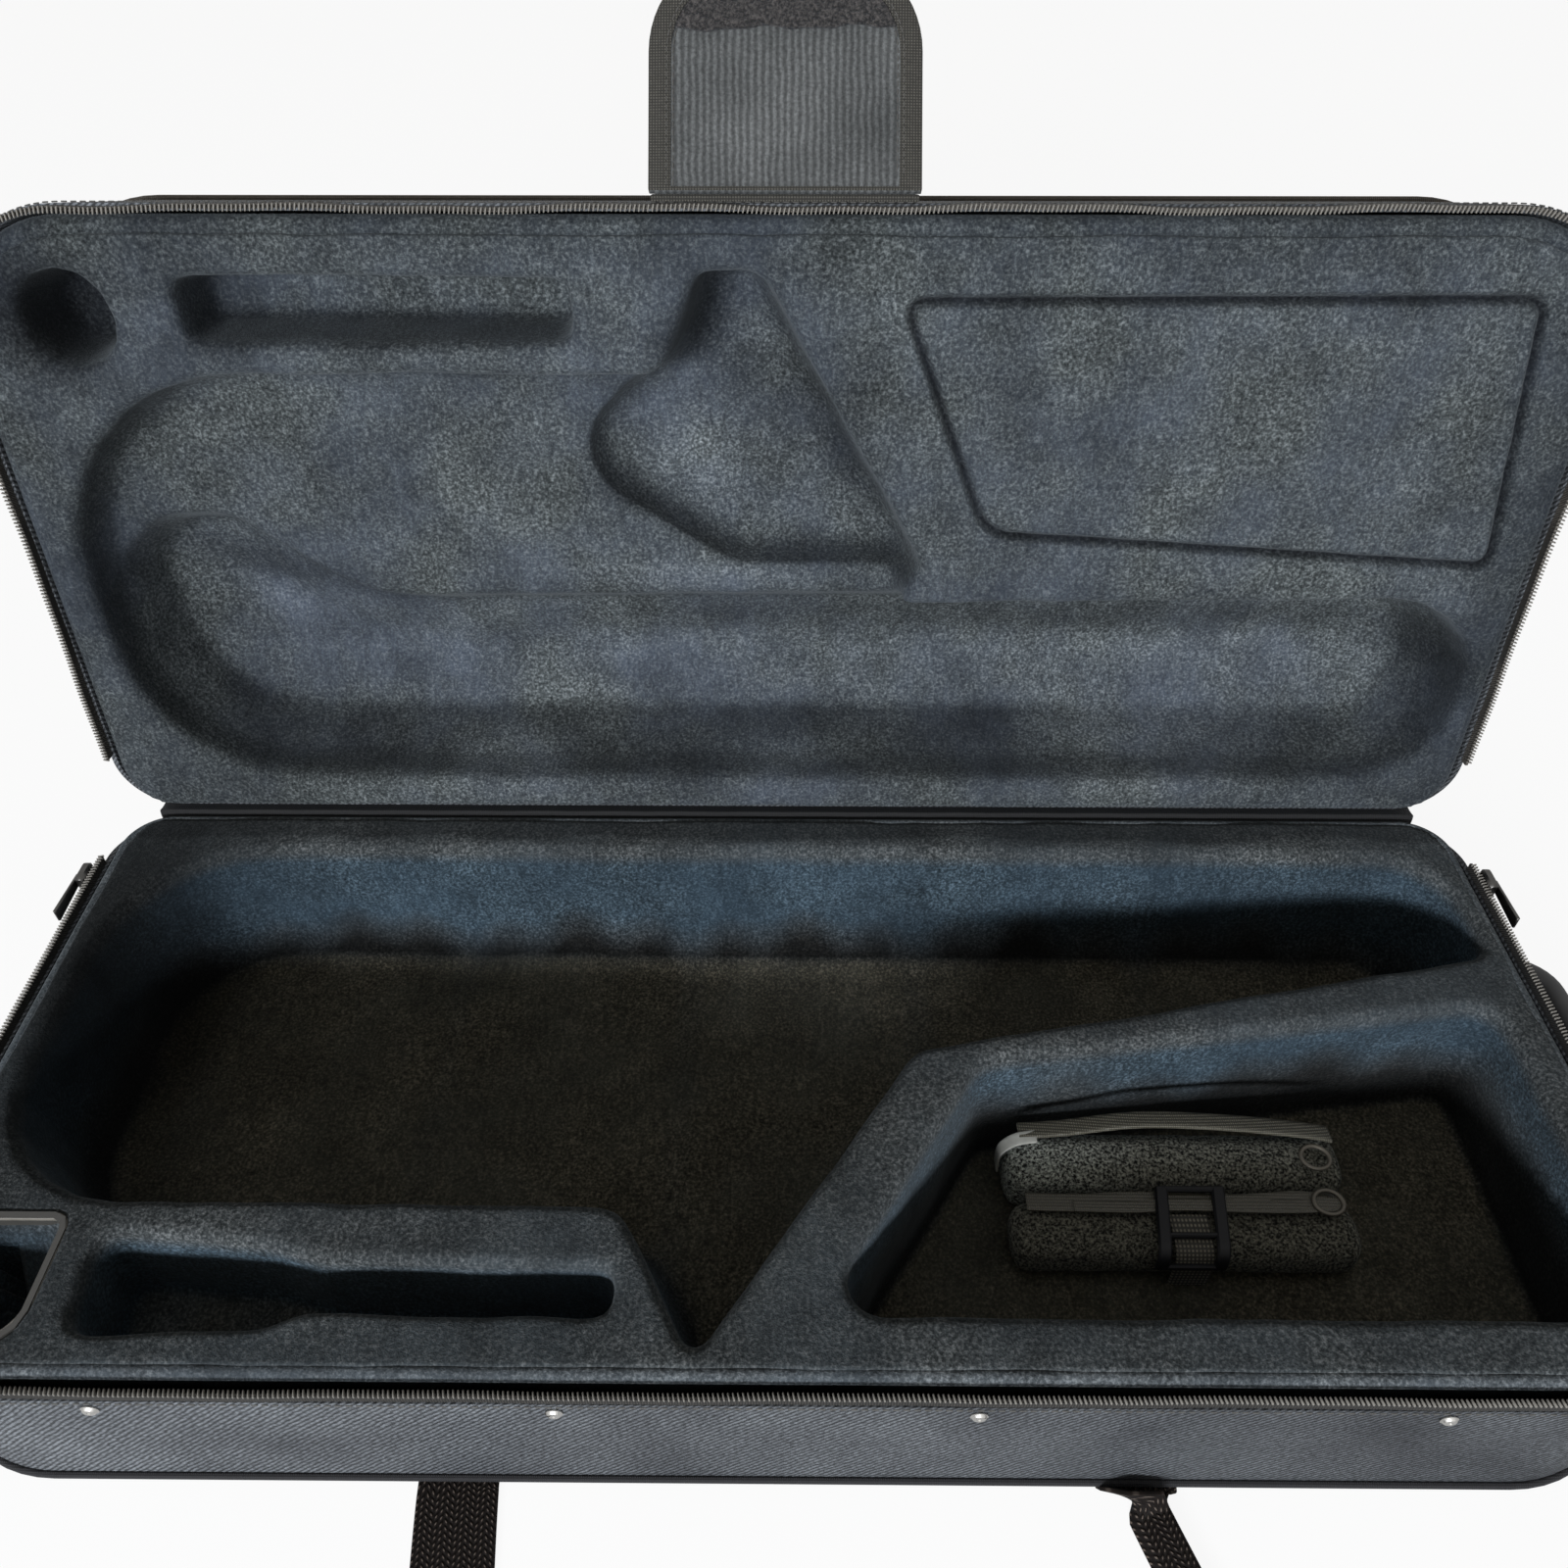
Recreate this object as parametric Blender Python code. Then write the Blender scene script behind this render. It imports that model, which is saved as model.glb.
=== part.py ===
# Soft-shell alto saxophone case, open: the lid stands behind the base on its cloth hinge.
# Metres, +Z up, +X along the case, +Y towards the hinge. The origin is the middle of the underside.
import math

import bmesh
import bpy
from mathutils import Vector

for old in list(bpy.data.objects):
    bpy.data.objects.remove(old, do_unlink=True)

# Driving dimensions of the whole case
case_length = 0.630
case_depth = 0.265
base_height = 0.078
lid_height = 0.074
rear_corner_radius = 0.026
front_corner_radius = 0.055
lid_open_angle = math.radians(98)
lid_draft_angle = math.radians(9)

# Fits: a touching gap between neighbours, and the gap left at the seam when the lid is down
fit_gap = 0.0003
seam_gap = 0.0004
overrun = 0.010
arc_sagitta = 0.0005
smallest_radius = 0.0004
edge_share = 0.98

# Shell, foam and lining
shell_thickness = 0.0025
shell_edge_radius = 0.009
shell_wall_drop = 0.006
rim_inset = 0.0095
rear_rim_inset = 0.0036
rebate_depth = 0.012
lining_thickness = 0.002
wall_slope_share = 0.12
lip_angles = (0.0, math.radians(40), math.radians(80))
skin_lip_angles = (0.0, math.radians(38), math.radians(76))
floor_angles = (math.radians(90), math.radians(45), 0.0)

# Pockets in the base: depth below the rim, floor radius and lip radius
cavity_depth = 0.066
cavity_floor_radius = 0.014
compartment_depth = 0.060
compartment_floor_radius = 0.005
compartment_slope_share = 0.05
recess_depth = 0.042
recess_floor_radius = 0.003
recess_slope_share = 0.04
deep_lip_radius = 0.004
recess_lip_radius = 0.003
cup_depth = 0.050
cup_wall = 0.0022
cup_edge_radius = 0.004

# Pockets in the lid
trough_depth = 0.054
trough_floor_radius = 0.034
plateau_depth = 0.026
plateau_floor_radius = 0.010
bell_depth = 0.044
bell_floor_radius = 0.012
slot_depth = 0.030
hole_depth = 0.032
hole_radius = 0.018
small_floor_radius = 0.004
small_lip_radius = 0.003
groove_radius = 0.0014

# Outlines at the rim. Each row is a corner: its place along the length, its place from the hinge to
# the front, and its rounding, as shares of the case's length, depth and depth.
cavity_shares = (
    (-0.471, 0.083, 0.234),
    (0.479, 0.091, 0.128),
    (0.479, 0.309, 0.038),
    (0.084, 0.494, 0.060),
    (-0.046, 0.957, 0.020),
    (-0.092, 0.749, 0.038),
    (-0.473, 0.743, 0.219),
)
compartment_shares = (
    (0.124, 0.517, 0.053),
    (0.467, 0.404, 0.053),
    (0.467, 0.894, 0.068),
    (0.020, 0.894, 0.045),
)
recess_shares = (
    (-0.383, 0.789, 0.026),
    (-0.283, 0.809, 0.045),
    (-0.254, 0.828, 0.045),
    (-0.089, 0.834, 0.023),
    (-0.090, 0.900, 0.023),
    (-0.251, 0.896, 0.045),
    (-0.273, 0.917, 0.045),
    (-0.378, 0.928, 0.030),
)
cup_shares = (
    (-0.476, 0.766, 0.026),
    (-0.400, 0.766, 0.023),
    (-0.400, 0.943, 0.045),
    (-0.476, 0.943, 0.125),
)
trough_shares = (
    (-0.459, 0.070, 0.264),
    (0.475, 0.070, 0.166),
    (0.483, 0.425, 0.166),
    (-0.289, 0.403, 0.190),
    (-0.378, 0.551, 0.100),
    (-0.470, 0.551, 0.140),
)
plateau_shares = (
    (-0.462, 0.243, 0.091),
    (0.080, 0.243, 0.030),
    (0.081, 0.470, 0.075),
    (0.016, 0.777, 0.053),
    (-0.477, 0.777, 0.325),
)
bell_shares = (
    (-0.052, 0.919, 0.030),
    (-0.014, 0.919, 0.030),
    (0.104, 0.429, 0.045),
    (-0.036, 0.429, 0.106),
    (-0.159, 0.619, 0.098),
    (-0.102, 0.747, 0.083),
    (-0.071, 0.796, 0.030),
)
slot_shares = (
    (-0.357, 0.819, 0.023),
    (-0.124, 0.819, 0.023),
    (-0.125, 0.911, 0.023),
    (-0.359, 0.911, 0.023),
)
groove_shares = (
    (0.070, 0.880, 0.038),
    (0.441, 0.884, 0.030),
    (0.462, 0.484, 0.030),
    (0.130, 0.536, 0.045),
)
hole_place_shares = (-0.424, 0.853)

# Zip: tape standing on the shell's wall, teeth along its edge, sliders parked by the rear corners
tape_inset = 0.0003
tape_thickness = 0.0012
teeth_width = 0.0028
teeth_height = 0.0015
zip_end_clearance = 0.002
slider_length = 0.011
slider_thickness = 0.005
slider_height = 0.0095
slider_parking = 0.010
slider_edge_radius = 0.0012
pull_length = 0.024
pull_width = 0.007
pull_thickness = 0.0016

# Piping cord along the bottom edge and the lid's top edge, and the bead along the lining
piping_radius = 0.0015
bead_radius = 0.0015

# Rivets on the front wall
rivet_radius = 0.003
rivet_rise = 0.0012
rivet_drop = 0.012
rivet_place_shares = (-0.356, -0.116, 0.103, 0.344)

# Cloth hinge along the rear walls
hinge_cloth_thickness = 0.001
hinge_cloth_reach = 0.022

# Flap on the lid's front wall, with binding and hook patch
flap_width = 0.096
flap_length = 0.085
flap_tip_radius = 0.036
flap_thickness = 0.002
flap_rise = 0.0075
flap_droop = math.radians(35)
seam_strip_thickness = 0.0026
seam_strip_height = 0.014
binding_width = 0.0075
binding_thickness = 0.0008
hook_thickness = 0.001
hook_start = 0.057

# Handle on the right end wall
handle_spread = 0.124
handle_stub = 0.0033
handle_radius = 0.0065
handle_bend_radius = 0.014
handle_bend_step = math.radians(15)
handle_drop = 0.026
patch_length = 0.034
patch_height = 0.022
patch_thickness = 0.003

# Webbing carry strap, sewn under the front edge
webbing_width = 0.029
webbing_thickness = 0.0016
strap_straight = 0.007
strap_floor_gap = 0.0003
strap_samples = 8
strap_route_shares = (
    (-0.1833, 0.000),
    (-0.1780, 0.110),
    (-0.1680, 0.280),
    (-0.1350, 0.500),
    (-0.0600, 0.600),
    (0.0500, 0.620),
    (0.1500, 0.575),
    (0.2250, 0.430),
    (0.2450, 0.270),
    (0.2200, 0.110),
    (0.2040, 0.000),
)

# Folded neck strap lying in the accessory compartment
bundle_left_share = 0.138
bundle_rear_share = 0.543
pad_length = 0.139
rear_pad_width = 0.028
rear_pad_height = 0.027
front_pad_width = 0.027
front_pad_height = 0.023
pad_roundness_share = 0.22
pad_cuts = 5
band_width = 0.010
band_thickness = 0.0022
band_end_share = 0.06
band_arch = 0.004
band_steps = 8
glide_length = 0.027
glide_width = 0.026
glide_bar = 0.004
glide_thickness = 0.0024
keeper_width = 0.017
keeper_thickness = 0.0014
ring_radius = 0.005
ring_wire_radius = 0.0011
ring_step = math.radians(24)

# Places worked out from the sizes above
half_length = case_length / 2
half_depth = case_depth / 2
hinge_height = base_height + seam_gap
tape_end = half_depth - rear_corner_radius - zip_end_clearance
rim_line = rim_inset - fit_gap - bead_radius


# Collections
parts_collection = bpy.data.collections.new("alto_saxophone_case")
cutter_collection = bpy.data.collections.new("cutters")
for collection in (parts_collection, cutter_collection):
    bpy.context.scene.collection.children.link(collection)


def make_material(name, color, roughness, metallic=0.0):
    material = bpy.data.materials.new(name)
    material.use_nodes = True
    shader = material.node_tree.nodes["Principled BSDF"]
    shader.inputs["Base Color"].default_value = (*color, 1.0)
    shader.inputs["Roughness"].default_value = roughness
    shader.inputs["Metallic"].default_value = metallic
    return material


twill = make_material("grey_twill", (0.085, 0.095, 0.105), 0.85)
foam = make_material("grey_foam", (0.10, 0.10, 0.11), 0.95)
plush = make_material("slate_plush", (0.070, 0.085, 0.100), 1.0)
black_tape = make_material("black_zip_tape", (0.030, 0.028, 0.026), 0.8)
taupe_tape = make_material("taupe_bead", (0.13, 0.12, 0.11), 0.75)
teeth_plastic = make_material("zip_teeth", (0.20, 0.20, 0.20), 0.45)
piping_cord = make_material("black_piping", (0.020, 0.020, 0.022), 0.7)
nickel = make_material("nickel", (0.72, 0.71, 0.69), 0.3, 1.0)
cup_plastic = make_material("grey_plastic", (0.12, 0.12, 0.12), 0.4)
rubber = make_material("black_rubber", (0.015, 0.015, 0.016), 0.55)
webbing = make_material("black_webbing", (0.020, 0.017, 0.015), 0.8)
ribbed_cloth = make_material("ribbed_cloth", (0.10, 0.105, 0.11), 0.9)
hook_pile = make_material("hook_pile", (0.045, 0.045, 0.045), 1.0)
pad_cloth = make_material("pad_cloth", (0.045, 0.043, 0.038), 0.95)


def add_object(name, data, material, parent=None, collection=parts_collection):
    obj = bpy.data.objects.new(name, data)
    collection.objects.link(obj)
    if material:
        data.materials.append(material)
    obj.parent = parent
    return obj


def finish_mesh(name, work, material, parent=None, smooth_angle=math.radians(40)):
    bmesh.ops.recalc_face_normals(work, faces=work.faces)
    mesh = bpy.data.meshes.new(name)
    work.to_mesh(mesh)
    work.free()
    mesh.shade_smooth()
    mesh.set_sharp_from_angle(angle=smooth_angle)
    return add_object(name, mesh, material, parent)


def make_cutter(obj):
    obj.hide_render = True
    obj.display_type = "WIRE"
    parts_collection.objects.unlink(obj)
    cutter_collection.objects.link(obj)
    return obj


def boolean(target, tool, operation):
    modifier = target.modifiers.new(f"{operation}_{tool.name}", "BOOLEAN")
    modifier.operation = operation
    modifier.object = tool
    modifier.solver = "EXACT"


def add_empty(name, place, parent=None, turn=0.0):
    empty = add_object(name, None, None, parent)
    empty.location = place
    empty.rotation_euler.x = turn
    return empty


def counterclockwise(corners):
    area = sum(
        before[0] * here[1] - here[0] * before[1]
        for before, here in zip(corners[-1:] + corners[:-1], corners)
    )
    return corners if area > 0 else corners[::-1]


def corner_arc(before, here, after, radius, grow):
    """Points round one corner of an outline that is offset outwards by grow."""
    come = (here - before).normalized()
    go = (after - here).normalized()
    turn = math.atan2(come.cross(go), come.dot(go))
    come_normal = Vector((come.y, -come.x))
    go_normal = Vector((go.y, -go.x))
    corner = here + grow * (come_normal + go_normal) / (1 + come_normal.dot(go_normal))
    side = math.copysign(1, turn)
    bend = max(radius + grow * side, smallest_radius)
    start = corner - come * bend * math.tan(abs(turn) / 2)
    centre = start - come_normal * bend * side
    step = 2 * math.acos(1 - arc_sagitta / max(radius, 2 * arc_sagitta))
    steps = max(1, round(abs(turn) / step))
    spoke = start - centre
    points = []
    for index in range(steps + 1):
        angle = turn * index / steps
        points.append(
            (
                centre.x + spoke.x * math.cos(angle) - spoke.y * math.sin(angle),
                centre.y + spoke.x * math.sin(angle) + spoke.y * math.cos(angle),
            )
        )
    return points


def half_turn_tangent(before, here, after):
    """The tangent of half the angle that an outline turns by at a corner."""
    come = Vector(here[:2]) - Vector(before[:2])
    go = Vector(after[:2]) - Vector(here[:2])
    return math.tan(abs(math.atan2(come.cross(go), come.dot(go))) / 2)


def limit_roundings(corners):
    """Shrinks two neighbouring roundings where they would meet along their edge."""
    count = len(corners)
    runs = []
    lengths = []
    for index, here in enumerate(corners):
        after = corners[(index + 1) % count]
        runs.append(here[2] * half_turn_tangent(corners[index - 1], here, after))
        lengths.append(math.dist(here[:2], after[:2]))
    limited = []
    for index, (x, y, radius) in enumerate(corners):
        after = (index + 1) % count
        ahead = lengths[index] / max(runs[index] + runs[after], smallest_radius)
        behind = lengths[index - 1] / max(runs[index - 1] + runs[index], smallest_radius)
        limited.append((x, y, radius * min(1, ahead * edge_share, behind * edge_share)))
    return limited


def outline(corners, grow=0.0):
    """A closed rounded outline. Every offset of it has the same number of points."""
    corners = limit_roundings(counterclockwise(list(corners)))
    count = len(corners)
    points = []
    for index, (x, y, radius) in enumerate(corners):
        before = Vector(corners[index - 1][:2])
        after = Vector(corners[(index + 1) % count][:2])
        points += corner_arc(before, Vector((x, y)), after, radius, grow)
    return points


def plan(shares):
    """Corners in metres from a table of shares."""
    return [
        (x * case_length, half_depth - s * case_depth, r * case_depth) for x, s, r in shares
    ]


case_corners = [
    (-half_length, -half_depth, front_corner_radius),
    (half_length, -half_depth, front_corner_radius),
    (half_length, half_depth, rear_corner_radius),
    (-half_length, half_depth, rear_corner_radius),
]


# The lining's outline is drawn in more at the front and ends than along the hinge
lining_corners = [
    (x, y + rim_inset - rear_rim_inset if y > 0 else y, radius) for x, y, radius in case_corners
]


def loft(name, rings, material, parent=None):
    """A closed solid through rings of equal count, with its two ends capped."""
    work = bmesh.new()
    loops = [[work.verts.new(point) for point in ring] for ring in rings]
    for low, high in zip(loops, loops[1:]):
        for index in range(len(low)):
            work.faces.new((low[index - 1], low[index], high[index], high[index - 1]))
    work.faces.new(loops[0])
    work.faces.new(loops[-1])
    return finish_mesh(name, work, material, parent)


lid_hinge = add_empty(
    "lid_hinge", (0, half_depth, hinge_height), turn=-lid_open_angle
)


class Half:
    """One half of the case. Levels are measured from its rim into its body."""

    def __init__(self, name, height, draft, parent):
        self.name = name
        self.height = height
        self.draft = draft
        self.parent = parent

    def level(self, points, depth):
        if self.parent is None:
            return [(x, y, base_height - depth) for x, y in points]
        return [(x, y - half_depth, seam_gap + depth) for x, y in points]

    def rings(self, sections, corners):
        """One outline at each section, which is a depth and a growth."""
        return [self.level(outline(corners, grow), depth) for depth, grow in sections]

    def solid(self, piece, sections, corners, material):
        """A loft of one outline."""
        rings = self.rings(sections, corners)
        return loft(f"{self.name}_{piece}", rings, material, self.parent)

    def walled(self, sections):
        """The sections drawn in by the draft of the walls, which starts under the zip."""
        return [
            (depth, grow - self.draft * max(0, depth - shell_wall_drop))
            for depth, grow in sections
        ]

    def edge_sections(self, floor, inset, radius):
        """Sections round the outer edge, from the panel to the wall, at this inset from it."""
        depth = self.height - floor
        sections = []
        for angle in floor_angles:
            level = depth - radius + radius * math.sin(angle)
            sections.append((level, -inset - radius + radius * math.cos(angle)))
        return self.walled(sections)


base = Half("base", base_height, 0, None)
lid = Half("lid", lid_height, math.tan(lid_draft_angle), lid_hinge)


def make_shell(half):
    inner_radius = shell_edge_radius - shell_thickness
    sections = half.edge_sections(0, 0, shell_edge_radius)
    sections.append((shell_wall_drop, 0))
    sections.append((shell_wall_drop, -shell_thickness))
    inner = half.edge_sections(shell_thickness, shell_thickness, inner_radius)
    sections += inner[::-1]
    return half.solid("shell", sections, case_corners, twill)


def pocket_sections(depth, floor_radius, lip_radius, slope, skin, lip_turns, top):
    """Sections of a pocket, or of the pocket grown by a skin, from its floor to its top."""
    outer_floor = floor_radius + skin
    lip = lip_radius - skin
    sections = []
    for angle in floor_angles:
        level = depth + skin - outer_floor * (1 - math.sin(angle))
        sections.append((level, skin - slope * level - outer_floor * (1 - math.cos(angle))))
    for angle in lip_turns:
        level = lip_radius - lip * math.sin(angle)
        shift = slope * lip_radius if angle == 0 else 0
        sections.append((level, lip_radius - lip * math.cos(angle) - shift))
    sections.append((top, sections[-1][1]))
    return sections


class Pocket:
    """A lined hollow. Its lining is a skin round it, and the foam is cut back behind the skin."""

    def __init__(self, name, corners, depth, floor_radius, lip_radius, slope=wall_slope_share):
        self.name = name
        self.corners = corners
        self.sizes = (depth, floor_radius, lip_radius, slope)

    def cutter(self, half, kind, skin, top):
        turns = lip_angles if skin == 0 else skin_lip_angles
        sections = pocket_sections(*self.sizes, skin, turns, top)
        return make_cutter(half.solid(f"{self.name}_{kind}", sections, self.corners, None))


def round_corners(centre_shares, radius):
    """Corners of a square whose rounding makes it a circle."""
    x = centre_shares[0] * case_length
    y = half_depth - centre_shares[1] * case_depth
    bend = radius - smallest_radius
    return [
        (x - radius, y - radius, bend),
        (x + radius, y - radius, bend),
        (x + radius, y + radius, bend),
        (x - radius, y + radius, bend),
    ]


base_pockets = [
    Pocket("cavity", plan(cavity_shares), cavity_depth, cavity_floor_radius, deep_lip_radius),
    Pocket(
        "compartment",
        plan(compartment_shares),
        compartment_depth,
        compartment_floor_radius,
        deep_lip_radius,
        compartment_slope_share,
    ),
    Pocket(
        "recess",
        plan(recess_shares),
        recess_depth,
        recess_floor_radius,
        recess_lip_radius,
        recess_slope_share,
    ),
]
lid_pockets = [
    Pocket("trough", plan(trough_shares), trough_depth, trough_floor_radius, deep_lip_radius),
    Pocket("plateau", plan(plateau_shares), plateau_depth, plateau_floor_radius, deep_lip_radius),
    Pocket("bell", plan(bell_shares), bell_depth, bell_floor_radius, deep_lip_radius),
    Pocket("slot", plan(slot_shares), slot_depth, small_floor_radius, small_lip_radius),
    Pocket(
        "hole",
        round_corners(hole_place_shares, hole_radius),
        hole_depth,
        small_floor_radius,
        small_lip_radius,
    ),
]


def make_foam(half, pockets):
    inset = shell_thickness + fit_gap
    edge = shell_edge_radius - shell_thickness
    top = lining_thickness + fit_gap
    lower = half.edge_sections(inset, inset, edge) + half.walled([(rebate_depth, -inset)])
    upper = [(rebate_depth, -rim_inset), (top, -rim_inset)]
    rings = half.rings(lower, case_corners) + half.rings(upper, lining_corners)
    block = loft(f"{half.name}_foam", rings, foam, half.parent)
    for pocket in pockets:
        boolean(block, pocket.cutter(half, "foam_cut", top, -overrun), "DIFFERENCE")
    return block


def make_lining(half, pockets):
    plate_sections = [(lining_thickness, -rim_inset), (0, -rim_inset)]
    plate = half.solid("lining", plate_sections, lining_corners, plush)
    inside = lining_thickness / 2
    for pocket in pockets:
        boolean(plate, pocket.cutter(half, "skin", lining_thickness, inside), "UNION")
    for pocket in pockets:
        boolean(plate, pocket.cutter(half, "hollow", 0, -overrun), "DIFFERENCE")
    return plate


def u_path(inset):
    """The zip's line, from the rear right corner round the front to the rear left corner."""
    right_end = (half_length - inset, tape_end)
    left_end = (-half_length + inset, tape_end)
    front_right = corner_arc(
        Vector((half_length, half_depth)),
        Vector((half_length, -half_depth)),
        Vector((-half_length, -half_depth)),
        front_corner_radius,
        inset,
    )
    front_left = corner_arc(
        Vector((half_length, -half_depth)),
        Vector((-half_length, -half_depth)),
        Vector((-half_length, half_depth)),
        front_corner_radius,
        inset,
    )
    return [right_end, *front_right, *front_left, left_end]


def make_u_band(half, piece, inset, width, near, far, material):
    ring = u_path(inset) + u_path(inset + width)[::-1]
    rings = [half.level(ring, near), half.level(ring, far)]
    return loft(f"{half.name}_{piece}", rings, material, half.parent)


def tube(name, points, radius, material, parent=None, cyclic=False, resolution=1):
    curve = bpy.data.curves.new(name, "CURVE")
    curve.dimensions = "3D"
    curve.bevel_depth = radius
    curve.bevel_resolution = resolution
    curve.use_fill_caps = not cyclic
    spline = curve.splines.new("POLY")
    spline.points.add(len(points) - 1)
    for target, point in zip(spline.points, points):
        target.co = (*point, 1)
    spline.use_cyclic_u = cyclic
    return add_object(name, curve, material, parent)


def make_zip(half):
    tape_far = shell_wall_drop - fit_gap
    tape_near = teeth_height + fit_gap
    make_u_band(
        half, "zip_tape", tape_inset, tape_thickness, tape_near, tape_far, black_tape
    )
    teeth_inset = tape_inset + tape_thickness / 2 - teeth_width / 2
    make_u_band(half, "zip_teeth", teeth_inset, teeth_width, 0, teeth_height, teeth_plastic)


def piping_place(half):
    """Depth and growth of the cord, which lies on the upper facet of the shell's rounded edge."""
    low, high = (Vector(section) for section in half.edge_sections(0, 0, shell_edge_radius)[1:])
    facet = (low - high).normalized()
    outwards = Vector((-facet.y, facet.x))
    return (low + high) / 2 + outwards * (fit_gap + piping_radius)


def make_trims(half):
    bead = half.level(outline(lining_corners, -rim_line), fit_gap + bead_radius)
    tube(f"{half.name}_rim_bead", bead, bead_radius, taupe_tape, half.parent, cyclic=True)
    depth, out = piping_place(half)
    cord = half.level(outline(case_corners, out), depth)
    tube(f"{half.name}_piping", cord, piping_radius, piping_cord, half.parent, cyclic=True)


def cup_sections(extra):
    """Sections of the cup's outside, grown by a gap."""
    bottom = cup_depth + extra
    return [
        (bottom, extra - cup_edge_radius),
        (bottom - cup_edge_radius, extra),
        (-overrun if extra else 0, extra),
    ]


def make_cup():
    corners = plan(cup_shares)
    inner_bottom = cup_depth - cup_wall
    sections = cup_sections(0)
    sections.append((0, -cup_wall))
    sections.append((inner_bottom - cup_edge_radius, -cup_wall))
    sections.append((inner_bottom, -cup_wall - cup_edge_radius))
    base.solid("accessory_cup", sections, corners, cup_plastic)
    return make_cutter(base.solid("cup_hole", cup_sections(fit_gap), corners, None))


def make_groove():
    points = lid.level(outline(plan(groove_shares)), 0)
    curve = tube("lid_groove_line", points, groove_radius, None, lid_hinge, cyclic=True)
    bpy.context.view_layer.update()
    graph = bpy.context.evaluated_depsgraph_get()
    mesh = bpy.data.meshes.new_from_object(curve.evaluated_get(graph))
    groove = add_object("lid_groove", mesh, None, lid_hinge)
    bpy.data.objects.remove(curve, do_unlink=True)
    return make_cutter(groove)


def rounded_block(name, size, centre, edge_radius, material, parent=None):
    """A box whose edges have a rounding of two facets."""
    work = bmesh.new()
    bmesh.ops.create_cube(work, size=1)
    bmesh.ops.scale(work, vec=size, verts=work.verts)
    bmesh.ops.bevel(
        work, geom=work.edges[:], offset=edge_radius, segments=2, profile=0.5, affect="EDGES"
    )
    bmesh.ops.translate(work, vec=centre, verts=work.verts)
    return finish_mesh(name, work, material, parent)


def make_rivets():
    for number, share in enumerate(rivet_place_shares, start=1):
        work = bmesh.new()
        bmesh.ops.create_uvsphere(work, u_segments=12, v_segments=6, radius=1)
        size = (rivet_radius, rivet_rise, rivet_radius)
        bmesh.ops.scale(work, vec=size, verts=work.verts)
        rivet = finish_mesh(f"front_rivet_{number}", work, nickel)
        seat = -half_depth - fit_gap - rivet_rise
        rivet.location = (share * case_length, seat, base_height - rivet_drop)


def make_hinge_cloth():
    """An L along the hinge line: one leg on the base's rear wall, the other on the lid's."""
    away = Vector((math.sin(lid_open_angle), math.cos(lid_open_angle)))
    normal = Vector((math.cos(lid_open_angle), -math.sin(lid_open_angle)))
    leg = away * math.cos(lid_draft_angle) - normal * math.sin(lid_draft_angle)
    leg_normal = normal * math.cos(lid_draft_angle) + away * math.sin(lid_draft_angle)
    bend = away * shell_wall_drop
    leg_end = bend + leg * (hinge_cloth_reach - shell_wall_drop)

    def corner(distance):
        return Vector((distance, distance * (1 - normal.x) / normal.y))

    near = fit_gap
    far = fit_gap + hinge_cloth_thickness
    section = [
        Vector((near, -hinge_cloth_reach)),
        Vector((far, -hinge_cloth_reach)),
        corner(far),
        bend + normal * far,
        leg_end + leg_normal * far,
        leg_end + leg_normal * near,
        bend + normal * near,
        corner(near),
    ]
    half_run = half_length - rear_corner_radius
    rings = [
        [(x, half_depth + point.x, hinge_height + point.y) for point in section]
        for x in (-half_run, half_run)
    ]
    loft("hinge_cloth", rings, twill)


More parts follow.
